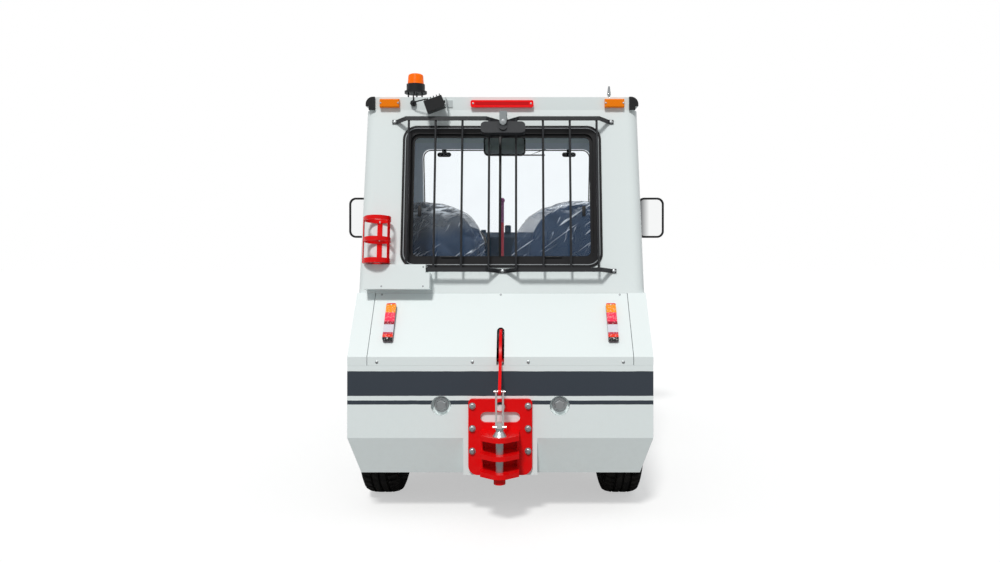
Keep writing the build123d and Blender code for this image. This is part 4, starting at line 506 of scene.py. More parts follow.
def window_pane(name, color):
    """Glass that lets light and shadow through, with faint smears."""
    material = bpy.data.materials.new(name)
    material.use_nodes = True
    material.diffuse_color = color[:3] + (0.4,)
    net = Net(material.node_tree)
    shader = material.node_tree.nodes["Principled BSDF"]
    smear = net.noise(5.0, 6.0, 0.6)
    smeared = net.mix(net.span(smear, 0.45, 0.8, 0, 0.25), color, scaled(color, 0.93))
    net.put(shader.inputs["Base Color"], smeared)
    net.put(shader.inputs["Roughness"], net.span(smear, 0.3, 0.8, 0.0, 0.03))
    shader.inputs["Transmission Weight"].default_value = 1.0
    shader.inputs["IOR"].default_value = 1.2
    passing = net.add("ShaderNodeBsdfTransparent")
    passing.inputs[0].default_value = color
    light = net.add("ShaderNodeLightPath")
    choose = net.add("ShaderNodeMixShader")
    lighting = net.math("MAXIMUM", light.outputs["Is Shadow Ray"], light.outputs["Is Diffuse Ray"])
    net.put(choose.inputs[0], lighting)
    net.put(choose.inputs[1], shader.outputs[0])
    net.put(choose.inputs[2], passing.outputs[0])
    net.put(material.node_tree.nodes["Material Output"].inputs[0], choose.outputs[0])
    materials[name] = material


window_pane("window_glass", (0.96, 0.985, 1.0, 1))


def lens(name, color, tint, pitch, glow=0.0):
    """Moulded lens with small prisms behind its surface."""
    finish = make(name, color, tint, roughness=0.24, mottle=0.5, dust=0.0, grain=200, bump=0.001,
                  specular=0.12)
    prisms = finish.effect(PRISMS, Pitch=pitch)
    finish.relief(prisms["Height"], 0.0006, 0.4)
    # Lighter colour on the prisms' tops: a painted glint.
    finish.over(prisms["Mask"], tuple(min(1, c * 1.5 + 0.01) for c in color[:3]) + (1,))
    if glow:
        finish.shader.inputs["Emission Color"].default_value = color
        finish.shader.inputs["Emission Strength"].default_value = glow
    return finish


lens("amber_lens", shade(240, 126, 6), shade(228, 104, 2), 420.0, 0.08)
lens("clear_lens", shade(206, 212, 216), shade(168, 176, 184), 300.0)

CORE_HALF, CORE_LOW, CORE_HIGH = 0.145, 2.1, 2.117  # the brake lamp's darker middle
brake = lens("brake_lens", shade(238, 20, 24), shade(206, 14, 18), 520.0, 0.16)
core_across = brake.net.math("LESS_THAN", brake.net.math("ABSOLUTE", brake.net.axes()["X"]), CORE_HALF)
core = brake.net.times(core_across, brake.net.band(brake.net.axes()["Z"], CORE_LOW, CORE_HIGH))
brake.over(brake.net.times(core, 0.7), shade(150, 12, 18))

dome = lens("beacon_dome", shade(250, 100, 2), shade(228, 72, 2), 260.0, 0.25)
ribs = dome.net.waves("Z", 900.0)
# The ribs' crests are painted lighter orange: a painted highlight.
dome.over(dome.net.span(ribs, -1, 1, 0.0, 0.3), shade(255, 160, 24))
dome.relief(ribs, 0.001, 0.5)

TAIL_MID, TAIL_HALF = 0.189, 0.108  # the tail lamps' middle and half length up the slope
TAIL_EDGE = 0.012  # depth of their housing under the lenses
tail = lens("tail_lenses", shade(228, 30, 44), shade(200, 20, 34), 420.0)
tail_foot = on_slope(0, TAIL_MID - TAIL_HALF)
up_lamp = tail.net.math("DIVIDE", tail.net.along(tail_foot, SLOPE_UP), 2 * TAIL_HALF)
segments = ramp(tail.net, tail.net.math("SUBTRACT", 1.0, up_lamp), [
    (0.0, shade(232, 60, 46)), (0.035, shade(250, 152, 34)), (0.256, shade(246, 62, 92)),
    (0.507, shade(150, 26, 48)), (0.583, shade(214, 214, 224)), (0.79, shade(196, 62, 84)),
    (0.84, shade(238, 56, 36)), (0.925, shade(40, 34, 36)),
])
flecks = tail.net.span(tail.net.cells(115.0), 0.1, 0.45, 0.45, 0.0)
tail.color(tail.net.mix(flecks, segments, (0.9, 0.86, 0.84, 1)))
tail.over(tail.net.math("LESS_THAN", tail.net.along(tail_foot, SLOPE_OUT), TAIL_EDGE), shade(120, 104, 110))

film_material = bpy.data.materials.new("clear_film")
film_material.use_nodes = True
film_material.diffuse_color = (0.8, 0.85, 0.9, 0.3)
film_net = Net(film_material.node_tree)
film_shader = film_material.node_tree.nodes["Principled BSDF"]
film_x, film_y, film_z = film_net.axes()


def film_streaks(lean, length_scale, width_scale, low, high):
    """Long creases that lean from the level by an angle: a noise drawn out along them."""
    along = film_net.math("ADD", film_net.times(film_x, math.cos(lean)),
                          film_net.times(film_z, math.sin(lean)))
    across = film_net.math("SUBTRACT", film_net.times(film_z, math.cos(lean)),
                           film_net.times(film_x, math.sin(lean)))
    drawn = film_net.add("ShaderNodeCombineXYZ")
    film_net.put(drawn.inputs[0], film_net.times(along, length_scale))
    film_net.put(drawn.inputs[1], film_net.times(across, width_scale))
    film_net.put(drawn.inputs[2], film_net.times(film_y, 5.0))
    return film_net.span(film_net.noise(1.0, 3.0, 0.55, drawn.outputs[0], 0.6), low, high)


fold = film_net.noise(7.0, 3.0, 0.5, distortion=0.8)
long_creases = film_streaks(math.radians(36), 4.2, 44.0, 0.62, 0.7)
steep_creases = film_streaks(math.radians(64), 5.0, 64.0, 0.64, 0.76)
top_band = film_net.span(film_z, 1.49, 1.55)  # the film's highest hand's breadth
patches = film_net.span(film_net.noise(6.0, 2.0, 0.5), 0.41, 0.52)
top_crinkle_highlights = film_net.times(film_streaks(math.radians(8), 14.0, 66.0, 0.46, 0.58),
                             film_net.times(top_band, patches))
creases = film_net.math("MAXIMUM", long_creases, steep_creases)
crease_highlights = film_net.math("MAXIMUM", creases, top_crinkle_highlights, clamp=True)
upper = film_net.math("SUBTRACT", film_z, film_net.times(film_x, 0.22))
sheen = film_net.times(film_net.span(upper, 1.46, 1.54), film_net.math("LESS_THAN", film_x, 0.0))
film_body = film_net.mix(sheen, shade(90, 110, 140), shade(138, 142, 148))
# The creases and the crinkled top band are painted near white and more opaque: painted highlights of light on
# the film's folds.
film_net.put(film_shader.inputs["Base Color"], film_net.mix(crease_highlights, film_body, (0.93, 0.95, 1.0, 1)))
film_shader.inputs["Roughness"].default_value = 0.2
cover = film_net.math("MULTIPLY_ADD", sheen, 0.14, film_net.span(fold, 0.35, 0.65, 0.36, 0.52))
film_net.put(film_shader.inputs["Alpha"],
             film_net.math("ADD", cover, film_net.times(crease_highlights, 0.6), clamp=True))
film_bump = film_net.add("ShaderNodeBump")
film_bump.inputs["Distance"].default_value = 0.01
film_bump.inputs["Strength"].default_value = 0.5
film_net.put(film_bump.inputs["Height"], film_net.math("MULTIPLY_ADD", long_creases, 0.3, fold))
film_net.put(film_shader.inputs["Normal"], film_bump.outputs[0])
film_shader.inputs["Specular IOR Level"].default_value = 0.35
materials["clear_film"] = film_material

finish_of_node = {
    "white_paint": ["nose_panel", "bonnet", "roof", "rear_cover", "rear_box"],
    "striped_white_paint": ["rear_counterweight", "rear_quarters", "front_wings", "sills"],
    "cab_paint_and_lining": ["cab_shell"],
    "door_paint": ["door_left", "door_right"],
    "red_paint": ["hitch", "extinguisher_holder", "front_coupling"],
    "lever_paint_and_haze": ["hitch_lever"],
    "pin_steel": ["hitch_pin"],
    "chassis_black": ["chassis_frame", "rear_axle", "front_axle", "track_rod", "wheel_housings",
                      "knuckle_left", "knuckle_right"],
    "bumper_paint": ["front_bumper"],
    "guard_black": ["window_guard"],
    "black_plastic": ["grille", "beacon", "side_mirrors", "roof_end_caps", "windscreen_fittings"],
    "lamp_housing": ["work_lamp"],
    "mirror_housing": ["hitch_mirror"],
    "iron_casting": ["driveline"],
    "window_rubber": ["rear_window_seal"],
    "wheel_grip": ["steering_wheel"],
    "rim_paint": ["rim_rear_left", "rim_rear_right", "rim_front_left", "rim_front_right"],
    "floor_mat": ["cab_floor"],
    "dash_plastic": ["dashboard"],
    "tyre_rubber": ["tyre_rear_left", "tyre_rear_right", "tyre_front_left", "tyre_front_right"],
    "plated_spring": ["antenna"],
    "seat_cloth": ["seats"],
    "window_glass": ["rear_window", "windscreen", "quarter_windows", "door_glass_left", "door_glass_right"],
    "mirror_silver": ["mirror_panes"],
    "amber_lens": ["marker_lamps"],
    "brake_lens": ["brake_lamp"],
    "clear_lens": ["headlamps"],
    "beacon_dome": ["beacon_dome"],
    "tail_lenses": ["tail_lamps"],
}
for finish_name, members in finish_of_node.items():
    for member in members:
        mesh = nodes[member].data
        mesh.materials.clear()
        mesh.materials.append(materials[finish_name])


# ---- Ways to make pieces ----
def piece(name, bm, finish_name, body="chassis", smooth=40.0, recalc=True):
    """Turns a bmesh into a finished piece that rides on a body."""
    if recalc:
        bmesh.ops.recalc_face_normals(bm, faces=bm.faces)
    mesh = bpy.data.meshes.new(name)
    bm.to_mesh(mesh)
    bm.free()
    made = bpy.data.objects.new(name, mesh)
    bpy.context.scene.collection.objects.link(made)
    mesh.materials.append(materials[finish_name])
    if smooth:
        mesh.shade_smooth()
        mesh.set_sharp_from_angle(angle=math.radians(smooth))
    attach(made, body)
    return made


def turned(at, direction, up=None):
    """Matrix that stands a shape made along +Z at a place, pointing in a direction."""
    z = Vector(direction).normalized()
    x = Vector(up).cross(z) if up else (Vector((1, 0, 0)) if abs(z.x) < 0.9 else Vector((0, 1, 0)))
    x = (x - z * x.dot(z)).normalized()
    y = z.cross(x)
    return Matrix.Translation(Vector(at)) @ Matrix((x, y, z)).transposed().to_4x4()


def cone(bm, at, direction, r1, r2, height, sides=16, start=0.0):
    """Straight or tapered round, standing on its place."""
    place = turned(at, direction) @ Matrix.Translation((0, 0, start + height / 2))
    bmesh.ops.create_cone(bm, cap_ends=True, segments=sides, radius1=r1, radius2=r2, depth=height,
                          matrix=place)


def block(bm, centre, size, axes=None):
    """Box with its edges rounded by a fifth of its least size."""
    place = Matrix.Translation(Vector(centre))
    if axes:
        place = place @ Matrix(axes).transposed().to_4x4()
    made = bmesh.ops.create_cube(bm, size=1.0, matrix=place @ Matrix.Diagonal((*size, 1)))
    edges = list({e for v in made["verts"] for e in v.link_edges})
    bmesh.ops.bevel(bm, geom=edges, offset=min(size) * 0.2, segments=2, affect="EDGES", profile=0.5,
                    material=-1)


def hex_bolt(bm, at, direction, radius, height):
    """Washer, six-sided head with a chamfered top."""
    cone(bm, at, direction, radius * 1.35, radius * 1.3, height * 0.2, 20)
    cone(bm, at, direction, radius, radius, height * 0.7, 6, height * 0.2)
    cone(bm, at, direction, radius * 0.98, radius * 0.8, height * 0.15, 6, height * 0.9)


def button(bm, at, direction, radius, height):
    """Round screw head with a recess."""
    cone(bm, at, direction, radius, radius * 0.94, height * 0.4, 16)
    cone(bm, at, direction, radius * 0.94, radius * 0.62, height * 0.35, 16, height * 0.4)
    cone(bm, at, direction, radius * 0.34, radius * 0.3, height * 0.1, 6, height * 0.72)


def rounded_frame(bm, centre, u, v, size, corner, thick, width):
    """Flat frame with rounded corners on the plane of u and v, thick along u x v."""
    u, v = Vector(u).normalized(), Vector(v).normalized()
    n = u.cross(v)
    place = Matrix.Translation(Vector(centre)) @ Matrix((u, v, n)).transposed().to_4x4()
    made = bmesh.ops.create_grid(bm, x_segments=1, y_segments=1, size=0.5,
                                 matrix=place @ Matrix.Diagonal((size[0], size[1], 1, 1)))
    faces = [f for f in bm.faces if all(w in made["verts"] for w in f.verts)]
    before = set(bm.faces) - set(faces)
    bmesh.ops.bevel(bm, geom=made["verts"], offset=corner, segments=8, affect="VERTICES", profile=0.5,
                    material=-1)
    face = [f for f in bm.faces if f not in before]
    bmesh.ops.inset_region(bm, faces=face, thickness=width, use_even_offset=True, use_boundary=True)
    bmesh.ops.delete(bm, geom=face, context="FACES_ONLY")
    face = [f for f in bm.faces if f not in before]
    grown = bmesh.ops.extrude_face_region(bm, geom=face)
    moved = [g for g in grown["geom"] if isinstance(g, bmesh.types.BMVert)]
    bmesh.ops.translate(bm, verts=moved, vec=n * thick)


# ---- Tyres with their tread ----
TREAD_STEPS = 96
SHOULDER, LUG_START, LUG_DEPTH = 0.03, 0.05, 0.009


def road_tyre(name, node, body):
    low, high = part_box(node)
    centre = (low + high) / 2
    r, w = (high.z - low.z) / 2, (high.x - low.x) / 2
    bead = 0.199
    groove = r - 0.012
    rows = [
        (-0.073, bead + 0.001), (-0.074, bead + 0.012), (-0.088, bead + 0.03), (-w, bead + 0.075),
        (-w + 0.001, r - 0.06), (-w + 0.008, r - 0.036), (-w + 0.017, r - 0.016), (-w + 0.034, r - 0.007),
        (-0.045, r - 0.0015), (-0.042, groove), (-0.036, groove), (-0.033, r - 0.001), (-0.006, r - 0.001),
        (-0.003, groove), (0.003, groove),
    ]
    rows = rows + [(-x, z) for x, z in reversed(rows[:-1]) if x < -0.0031] + [(0.073, bead + 0.001)]
    bm = bmesh.new()
    verts = [bm.verts.new((centre.x + x, centre.y, centre.z + z)) for x, z in rows]
    edges = [bm.edges.new(pair) for pair in zip(verts, verts[1:])]
    bmesh.ops.spin(bm, geom=verts + edges, cent=centre, axis=(1, 0, 0), angle=2 * math.pi, steps=TREAD_STEPS,
                   use_merge=True)
    bmesh.ops.remove_doubles(bm, verts=bm.verts, dist=0.0004)
    # Every other step of the shoulders is pressed in, which leaves the lugs standing.
    gaps = []
    for face in bm.faces:
        mid = face.calc_center_median() - centre
        step = int((math.atan2(mid.z, mid.y) / (2 * math.pi) + 0.5) * TREAD_STEPS)
        if mid.yz.length > r - SHOULDER and abs(mid.x) > LUG_START and (step + (mid.x > 0)) % 2:
            gaps.append(face)
    bmesh.ops.inset_region(bm, faces=gaps, thickness=0.002, depth=0.0)
    for v in {v for f in gaps for v in f.verts}:
        out = v.co - centre
        out.x = 0
        v.co -= out.normalized() * LUG_DEPTH
    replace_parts(piece(name, bm, "tyre_rubber", body, smooth=35), node)


for corner_name in ("rear_left", "rear_right", "front_left", "front_right"):
    road_tyre(f"road_tyre_{corner_name}", f"tyre_{corner_name}", f"wheel_{corner_name}")

# ---- Seats under their clear film ----
SEAT_X = 0.34
CUSHION_Z = 1.0103
BACK_LEAN = 0.12
back_base = Vector((0, WALL_Y + 0.555, CUSHION_Z + 0.06))
back_up = Vector((0, -math.sin(BACK_LEAN), math.cos(BACK_LEAN)))
back_out = Vector((0, -math.cos(BACK_LEAN), -math.sin(BACK_LEAN)))


def bulged(cuts, shape):
    """Subdivided cube placed by shape(x, t, d): across -1 to 1, up 0 to 1, through the back -1 to 1."""
    bm = bmesh.new()
    bmesh.ops.create_cube(bm, size=1.0)
    bmesh.ops.subdivide_edges(bm, edges=bm.edges, cuts=cuts, use_grid_fill=True)
    for v in bm.verts:
        v.co = shape(v.co.x * 2, v.co.y + 0.5, v.co.z * 2)
    return bm


def back_point(side, x, t, d, height, outer, inner_top, flare, thick):
    """Point of a backrest that slopes away on the side next to the other seat."""
    down = height * (1 - t)
    inner = inner_top - flare * (1 - math.exp(-down / 0.1))
    middle, half_width = (outer + inner) / 2, (outer - inner) / 2
    edge = max(0.0, 1 - (1 - t) / 0.12)
    half_width -= 0.02 * edge * edge
    crown = math.sqrt(max(0.0, (1 - x * x) * (1 - (2 * t - 1) ** 2)))
    up = t * height - 0.012 * x * x * edge
    across = middle + x * half_width
    place = back_base + back_up * up + back_out * (0.055 + d * (thick + 0.02 * crown))
    return Vector((side * across, place.y, place.z))


def seat_back(side):
    return bulged(9, lambda x, t, d: back_point(side, x, t, d, 0.522, 0.572, 0.335, 0.2, 0.03))


def film_bag(side):
    """Clear bag drawn over the backrest, creased and hanging in folds beside it."""
    flare = 0.24 if side < 0 else 0.285
    bm = bulged(47, lambda x, t, d: back_point(side, x, t, d, 0.537, 0.585, 0.325, flare, 0.042))
    bm.normal_update()
    for v in bm.verts:
        p = v.co.copy()
        slant = Vector((p.x * 11 + p.z * 7 + side * 5, p.y * 6, p.z * 6 - p.x * 4))
        ridge = 1 - abs(noise.noise(slant)) * 2.2
        fine = 1 - abs(noise.noise(slant * 3.1)) * 2.0
        v.co = p + v.normal * (0.006 * max(0.0, ridge) + 0.003 * max(0.0, fine))
    return bm


def seat_cushion(side):
    bm = bmesh.new()
    bmesh.ops.create_cube(bm, size=1.0)
    bmesh.ops.subdivide_edges(bm, edges=bm.edges, cuts=5, use_grid_fill=True)
    for v in bm.verts:
        x, y, z = v.co.x * 2, v.co.y * 2, v.co.z * 2
        crown = math.sqrt(max(0.0, (1 - x * x) * (1 - y * y)))
        swell = 0.014 * crown if z > 0 else 0.008
        v.co = Vector((side * SEAT_X + x * 0.238, WALL_Y + 0.705 + y * 0.228,
                       CUSHION_Z + 0.052 + z * (0.04 + swell)))
    return bm


def seat_pad(name, bm):
    pad = piece(name, bm, "seat_cloth", smooth=0)
    pad.modifiers.new("round", "SUBSURF").levels = 2
    pad.modifiers["round"].render_levels = 2
    pad.data.shade_smooth()
    return pad


for side, side_name in ((-1, "left"), (1, "right")):
    back = seat_pad(f"seat_back_{side_name}", seat_back(side))
    seat_pad(f"seat_cushion_{side_name}", seat_cushion(side))
    if side < 0:
        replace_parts(back, "seats")
    film = piece(f"seat_film_{side_name}", film_bag(side), "clear_film", smooth=0)
    film.data.shade_smooth()

# ---- Bolts and screws ----
REAR_OUT = Vector((0, -1, 0))
HITCH_FACE = REAR - 0.0163
HITCH_BOLT_X, HITCH_BOLT_Z, HITCH_BOLT_STEP = 0.136, 0.457, 0.110
CUP_X, CUP_Z, CUP_FLOOR = 0.291, 0.563, REAR + 0.0335
GUARD_FOOT_Z, GUARD_HEAD_Z, GUARD_FACE = 1.214, 2.01, 0.0063
HOLDER_FOOT_Z = 1.247
LAMP_FACE = FASCIA_Y - 0.026


def dome_bolt(bm, at, direction):
    """Washer and round head with a small socket."""
    cone(bm, at, direction, 0.0165, 0.016, 0.004, 20)
    cone(bm, at, direction, 0.0135, 0.013, 0.009, 20, 0.003)
    cone(bm, at, direction, 0.013, 0.009, 0.003, 20, 0.012)
    cone(bm, at, direction, 0.006, 0.006, 0.0006, 6, 0.0148)


bolts = bmesh.new()
for side in (-1, 1):
    for row in (-1, 0, 1):
        dome_bolt(bolts, (side * HITCH_BOLT_X, HITCH_FACE, HITCH_BOLT_Z + row * HITCH_BOLT_STEP), REAR_OUT)
    # Large bolts that hold the ballast casting, deep in their cups.
    cup = Vector((side * CUP_X, CUP_FLOOR, CUP_Z))
    cone(bolts, cup, REAR_OUT, 0.036, 0.036, 0.004, 28)
    hex_bolt(bolts, cup, REAR_OUT, 0.0275, 0.026)
cover_lip = [((x, REAR, 0.778), REAR_OUT, 0.008, 0.005) for x in (-0.605, -0.137, 0.137, 0.603)]
cover_top = [(on_slope(x, 0.3665), SLOPE_OUT, 0.006, 0.004) for x in (-0.62, -0.003, 0.614)]
box_screws = [(on_wall(x, z, 0.0853), WALL_OUT, 0.0045, 0.003)
              for x, z in ((-0.398, 1.226), (-0.610, 1.128), (-0.398, 1.128))]
guard_screws = [(on_wall(x, z, GUARD_FACE), WALL_OUT, 0.010, 0.006)
                for z in (GUARD_FOOT_Z, GUARD_HEAD_Z) for x in (-0.576, 0.586, 0.005)]
holder_screws = [(on_wall(-0.64, HOLDER_FOOT_Z + up, 0.0046), WALL_OUT, 0.009, 0.006)
                 for up in (0.126, 0.222)]
marker_screws = [((x + end * 0.047, LAMP_FACE, EAVE + 0.034), REAR_OUT, 0.005, 0.003)
                 for x in (-0.604, 0.604) for end in (-1, 1)]
brake_screws = [((x, FASCIA_Y - 0.0243, EAVE + 0.031), REAR_OUT, 0.005, 0.003) for x in (-0.155, 0.155)]
tail_screws = [(on_slope(side * 0.56, TAIL_MID + up, 0.0263), SLOPE_OUT, 0.004, 0.002)
               for side in (-1, 1) for up in (-0.098, 0.1)]
for screws in (cover_lip, cover_top, box_screws, guard_screws, holder_screws, marker_screws, brake_screws,
               tail_screws):
    for at, direction, radius, height in screws:
        button(bolts, at, direction, radius, height)
hex_bolt(bolts, (MIRROR_X, hitch_mirror_low.y + 0.0122, 1.994), REAR_OUT, 0.009, 0.003)
piece("outer_bolts", bolts, "zinc_bolts", recalc=False, smooth=35)

# ---- Rear window ----
WINDOW_FOOT, WINDOW_HEAD, WINDOW_WIDTH = 1.232, 1.989, 1.06
wall_axes = (RIGHT, -WALL_OUT, WALL_UP)
window_mid = on_wall(0, (WINDOW_FOOT + WINDOW_HEAD) / 2)
window_tall = (WINDOW_HEAD - WINDOW_FOOT) / math.cos(REAR_LEAN)
trim = bmesh.new()
rounded_frame(trim, window_mid + WALL_OUT * 0.0054, RIGHT, WALL_UP,
              (WINDOW_WIDTH - 0.026, window_tall - 0.026), 0.064, 0.0035, 0.004)
piece("window_seal_bead", trim, "gray_strip", smooth=30)
inner = bmesh.new()
rounded_frame(inner, window_mid - WALL_OUT * 0.0165, RIGHT, WALL_UP,
              (WINDOW_WIDTH - 0.088, window_tall - 0.088), 0.044, 0.008, 0.018)
block(inner, window_mid - WALL_OUT * 0.012 + RIGHT * -0.009, (0.014, 0.008, window_tall - 0.11), wall_axes)
piece("window_frame", inner, "window_rubber", smooth=30)
catches = bmesh.new()
for x in (-0.435, 0.435):
    block(catches, on_wall(x, 1.531, -0.010), (0.018, 0.012, 0.057), wall_axes)
for x in (-0.27, 0.27):
    block(catches, on_wall(x, 1.288, -0.006), (0.09, 0.012, 0.008), wall_axes)
piece("window_catches", catches, "black_plastic", smooth=30)

# ---- Door windows and handles, quarter windows, windscreen ----
SEAL_STAND = 0.0003  # clear of the panel
door_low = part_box("door_right")[0]
door_glass_low, door_glass_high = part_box("door_glass_right")
glass_mid = (door_glass_low + door_glass_high) / 2
glass_span = door_glass_high - door_glass_low
handle_axes = (Vector((0, 1, 0)), Vector((0, 0, 1)), RIGHT)


def side_out(side):
    return Vector((side * math.cos(LEAN_IN), 0, math.sin(LEAN_IN)))


def straight_frame(bm, corners, out, width, thick):
    """Flat strip round an opening with straight sides, standing off its wall."""
    face = bm.faces.new([bm.verts.new(c) for c in corners])
    face.normal_update()
    made = bmesh.ops.inset_region(bm, faces=[face], thickness=width, use_even_offset=True, use_boundary=True)
    bmesh.ops.delete(bm, geom=[face], context="FACES_ONLY")
    grown = bmesh.ops.extrude_face_region(bm, geom=made["faces"])
    moved = [g for g in grown["geom"] if isinstance(g, bmesh.types.BMVert)]
    bmesh.ops.translate(bm, verts=moved, vec=out * thick)


for side, side_name in ((-1, "left"), (1, "right")):
    out = side_out(side)
    up = Vector((-side * math.sin(LEAN_IN), 0, math.cos(LEAN_IN)))
    seal = bmesh.new()
    centre = Vector((side * side_x(glass_mid.z), glass_mid.y, glass_mid.z)) + out * SEAL_STAND
    rounded_frame(seal, centre, up.cross(out), up, (glass_span.y + 0.022, glass_span.z + 0.022),
                  0.055, 0.004, 0.018)
    piece(f"door_glass_seal_{side_name}", seal, "window_rubber", f"door_{side_name}", smooth=30)
    handle = bmesh.new()
    at = Vector((side * HALF, door_low.y + 0.085, 1.0))
    outward = RIGHT * side
    block(handle, at + outward * 0.003, (0.13, 0.058, 0.006), handle_axes)
    block(handle, at + outward * 0.014 + Vector((0, 0.006, 0.008)), (0.098, 0.02, 0.012), handle_axes)
    cone(handle, at + outward * 0.005 + Vector((0, -0.048, -0.012)), outward, 0.011, 0.01, 0.008, 20)
    piece(f"door_handle_{side_name}", handle, "black_plastic", f"door_{side_name}", smooth=30)

QUARTER_MARGIN = 0.012
QUARTER_REAR = 0.098  # from the rear wall's outer face to the seal's rear edge
quarter_low, quarter_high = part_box("quarter_windows")
quarter_foot, quarter_head = quarter_low.z - QUARTER_MARGIN, quarter_high.z + QUARTER_MARGIN
outline = (
    (quarter_high.y + QUARTER_MARGIN, quarter_foot),
    (quarter_high.y + QUARTER_MARGIN, quarter_head),
    (rear_wall_y(quarter_high.z) + QUARTER_REAR, quarter_head),
    (rear_wall_y(quarter_low.z) + QUARTER_REAR, quarter_foot),
)
quarters = bmesh.new()
for side in (-1, 1):
    out = side_out(side)
    corners = [Vector((side * side_x(z), y, z)) + out * SEAL_STAND for y, z in outline]
    straight_frame(quarters, corners, out, 0.022, 0.004)
piece("quarter_window_seals", quarters, "window_rubber", smooth=30)

screen_low, screen_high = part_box("windscreen")
screen_up = Vector((0, -math.sin(SCREEN_LEAN), math.cos(SCREEN_LEAN)))
screen_out = Vector((0, math.cos(SCREEN_LEAN), math.sin(SCREEN_LEAN)))
screen_z = (screen_low.z + screen_high.z) / 2
screen_mid = Vector((0, SCREEN_Y - (screen_z - WAIST) * math.tan(SCREEN_LEAN), screen_z))
screen_wide = screen_high.x - screen_low.x
screen_tall = (screen_high.z - screen_low.z) / math.cos(SCREEN_LEAN)
screen_seal = bmesh.new()
rounded_frame(screen_seal, screen_mid - screen_out * 0.0076, -RIGHT, screen_up,
              (screen_wide - 0.004, screen_tall - 0.006), 0.058, 0.0035, 0.008)
piece("windscreen_seal", screen_seal, "window_rubber", smooth=30)

# ---- Headlamp bezels and bulb caps, instrument hoods, lever sleeve ----
headlamp_low, headlamp_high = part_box("headlamps")
headlamp_z = (headlamp_high.z + headlamp_low.z) / 2
lamp_radius = (headlamp_high.z - headlamp_low.z) / 2
bezel_profile = (
    (lamp_radius + 0.012, -0.022), (lamp_radius + 0.012, -0.006), (lamp_radius + 0.004, 0.003),
    (lamp_radius - 0.008, 0.003), (lamp_radius - 0.012, 0.0003),
)
bezels = bmesh.new()
caps = bmesh.new()
for side in (-1, 1):
    centre = Vector((side * (headlamp_high.x - lamp_radius), headlamp_high.y, headlamp_z))
    verts = [bezels.verts.new(centre + Vector((r, y, 0))) for r, y in bezel_profile]
    edges = [bezels.edges.new(pair) for pair in zip(verts, verts[1:])]
    bmesh.ops.spin(bezels, geom=verts + edges, cent=centre, axis=(0, 1, 0), angle=2 * math.pi, steps=48,
                   use_merge=True)
    cone(caps, centre, (0, 1, 0), 0.019, 0.014, 0.004, 24, 0.0003)
piece("headlamp_bezels", bezels, "gray_strip", smooth=40)
piece("headlamp_caps", caps, "gray_strip", smooth=40)

dash_low, dash_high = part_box("dashboard")
hoods = bmesh.new()
block(hoods, (-0.167, dash_high.y - 0.1, dash_high.z + 0.006), (0.036, 0.05, 0.024))
block(hoods, (0.01, dash_high.y - 0.12, dash_high.z + 0.022), (0.044, 0.06, 0.058))
block(hoods, (-0.34, dash_low.y + 0.045, dash_high.z + 0.006), (0.3, 0.07, 0.03))
piece("instrument_hoods", hoods, "dash_plastic", smooth=30)

SLEEVE_RADIUS, SLEEVE_LENGTH = 0.0105, 0.33
lever_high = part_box("hitch_lever")[1]
lever_up = Vector((0, 0.07, 0.58)).normalized()
sleeve_top = Vector((0, lever_high.y - 0.015, lever_high.z - 0.015)) - lever_up * 0.012
sleeve = bmesh.new()
cone(sleeve, sleeve_top, -lever_up, SLEEVE_RADIUS, SLEEVE_RADIUS, SLEEVE_LENGTH, 20)
piece("lever_grip", sleeve, "lever_paint_and_haze", "hitch_lever", smooth=40)

# ---- Floor, sky, sun and camera ----
FLOOR_BOUNCE = (0.34, 0.34, 0.34, 1)
FLOOR_PALE, FLOOR_PALER = (0.55, 0.55, 0.55, 1), (0.57, 0.57, 0.57, 1)

ground_mesh = bpy.data.meshes.new("studio_floor")
ground_bm = bmesh.new()
bmesh.ops.create_grid(ground_bm, x_segments=1, y_segments=1, size=30.0)
ground_bm.to_mesh(ground_mesh)
ground_bm.free()
ground = bpy.data.objects.new("studio_floor", ground_mesh)
bpy.context.scene.collection.objects.link(ground)
ground_material = bpy.data.materials.new("studio_floor")
ground_material.use_nodes = True
ground_net = Net(ground_material.node_tree)
ground_shader = ground_material.node_tree.nodes["Principled BSDF"]
seen_by_camera = ground_net.add("ShaderNodeLightPath").outputs["Is Camera Ray"]
floor_tone = ground_net.mix(ground_net.noise(0.6), FLOOR_PALE, FLOOR_PALER)
ground_net.put(ground_shader.inputs["Base Color"], ground_net.mix(seen_by_camera, FLOOR_BOUNCE, floor_tone))
ground_shader.inputs["Roughness"].default_value = 0.9
ground_shader.inputs["Specular IOR Level"].default_value = 0.1
ground_glow = ground_net.add("ShaderNodeEmission")
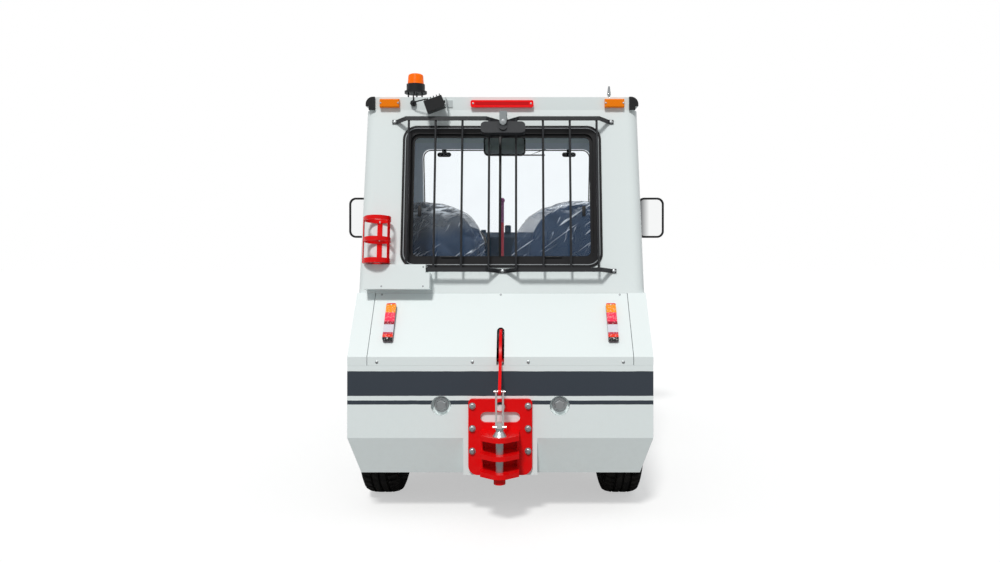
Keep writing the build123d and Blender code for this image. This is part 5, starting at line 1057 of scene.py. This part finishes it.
ground_net.put(ground_glow.inputs["Strength"], ground_net.times(seen_by_camera, 0.5))
ground_sum = ground_net.add("ShaderNodeAddShader")
ground_net.put(ground_sum.inputs[0], ground_shader.outputs[0])
ground_net.put(ground_sum.inputs[1], ground_glow.outputs[0])
ground_net.put(ground_material.node_tree.nodes["Material Output"].inputs[0], ground_sum.outputs[0])
ground_mesh.materials.append(ground_material)

world = bpy.data.worlds.new("studio_sky")
bpy.context.scene.world = world
world.use_nodes = True
sky_net = Net(world.node_tree)
sky = world.node_tree.nodes["Background"]
sky.inputs[0].default_value = (0.95, 0.98, 1.0, 1)
sky.inputs[1].default_value = 0.43
white = sky_net.add("ShaderNodeBackground")
white.inputs[0].default_value = (1, 1, 1, 1)
white.inputs[1].default_value = 1.0
rays = sky_net.add("ShaderNodeLightPath").outputs
mirrored = sky_net.math("MAXIMUM", rays["Is Glossy Ray"], rays["Is Transmission Ray"])
sky_mix = sky_net.add("ShaderNodeMixShader")
sky_net.put(sky_mix.inputs[0], sky_net.math("MAXIMUM", rays["Is Camera Ray"], mirrored))
sky_net.put(sky_mix.inputs[1], sky.outputs[0])
sky_net.put(sky_mix.inputs[2], white.outputs[0])
sky_net.put(world.node_tree.nodes["World Output"].inputs[0], sky_mix.outputs[0])

sun = bpy.data.lights.new("key_light", "SUN")
sun.energy = 2.2
sun.angle = math.radians(9)
sun.color = (1.0, 0.99, 0.97)
sun_object = bpy.data.objects.new("key_light", sun)
sun_object.rotation_euler = Vector((-0.12, -0.66, 0.74)).to_track_quat("Z", "Y").to_euler()
bpy.context.scene.collection.objects.link(sun_object)

camera = bpy.data.cameras.new("camera")
camera.lens = 27.72
camera.sensor_width = 36.0
camera.shift_x = -0.0197
camera.shift_y = -0.039
camera_object = bpy.data.objects.new("camera", camera)
camera_object.location = (0.095, -5.221, 1.366)
camera_object.rotation_euler = (math.radians(90), 0, 0)
bpy.context.scene.collection.objects.link(camera_object)
bpy.context.scene.camera = camera_object
bpy.context.scene.view_settings.view_transform = "Standard"
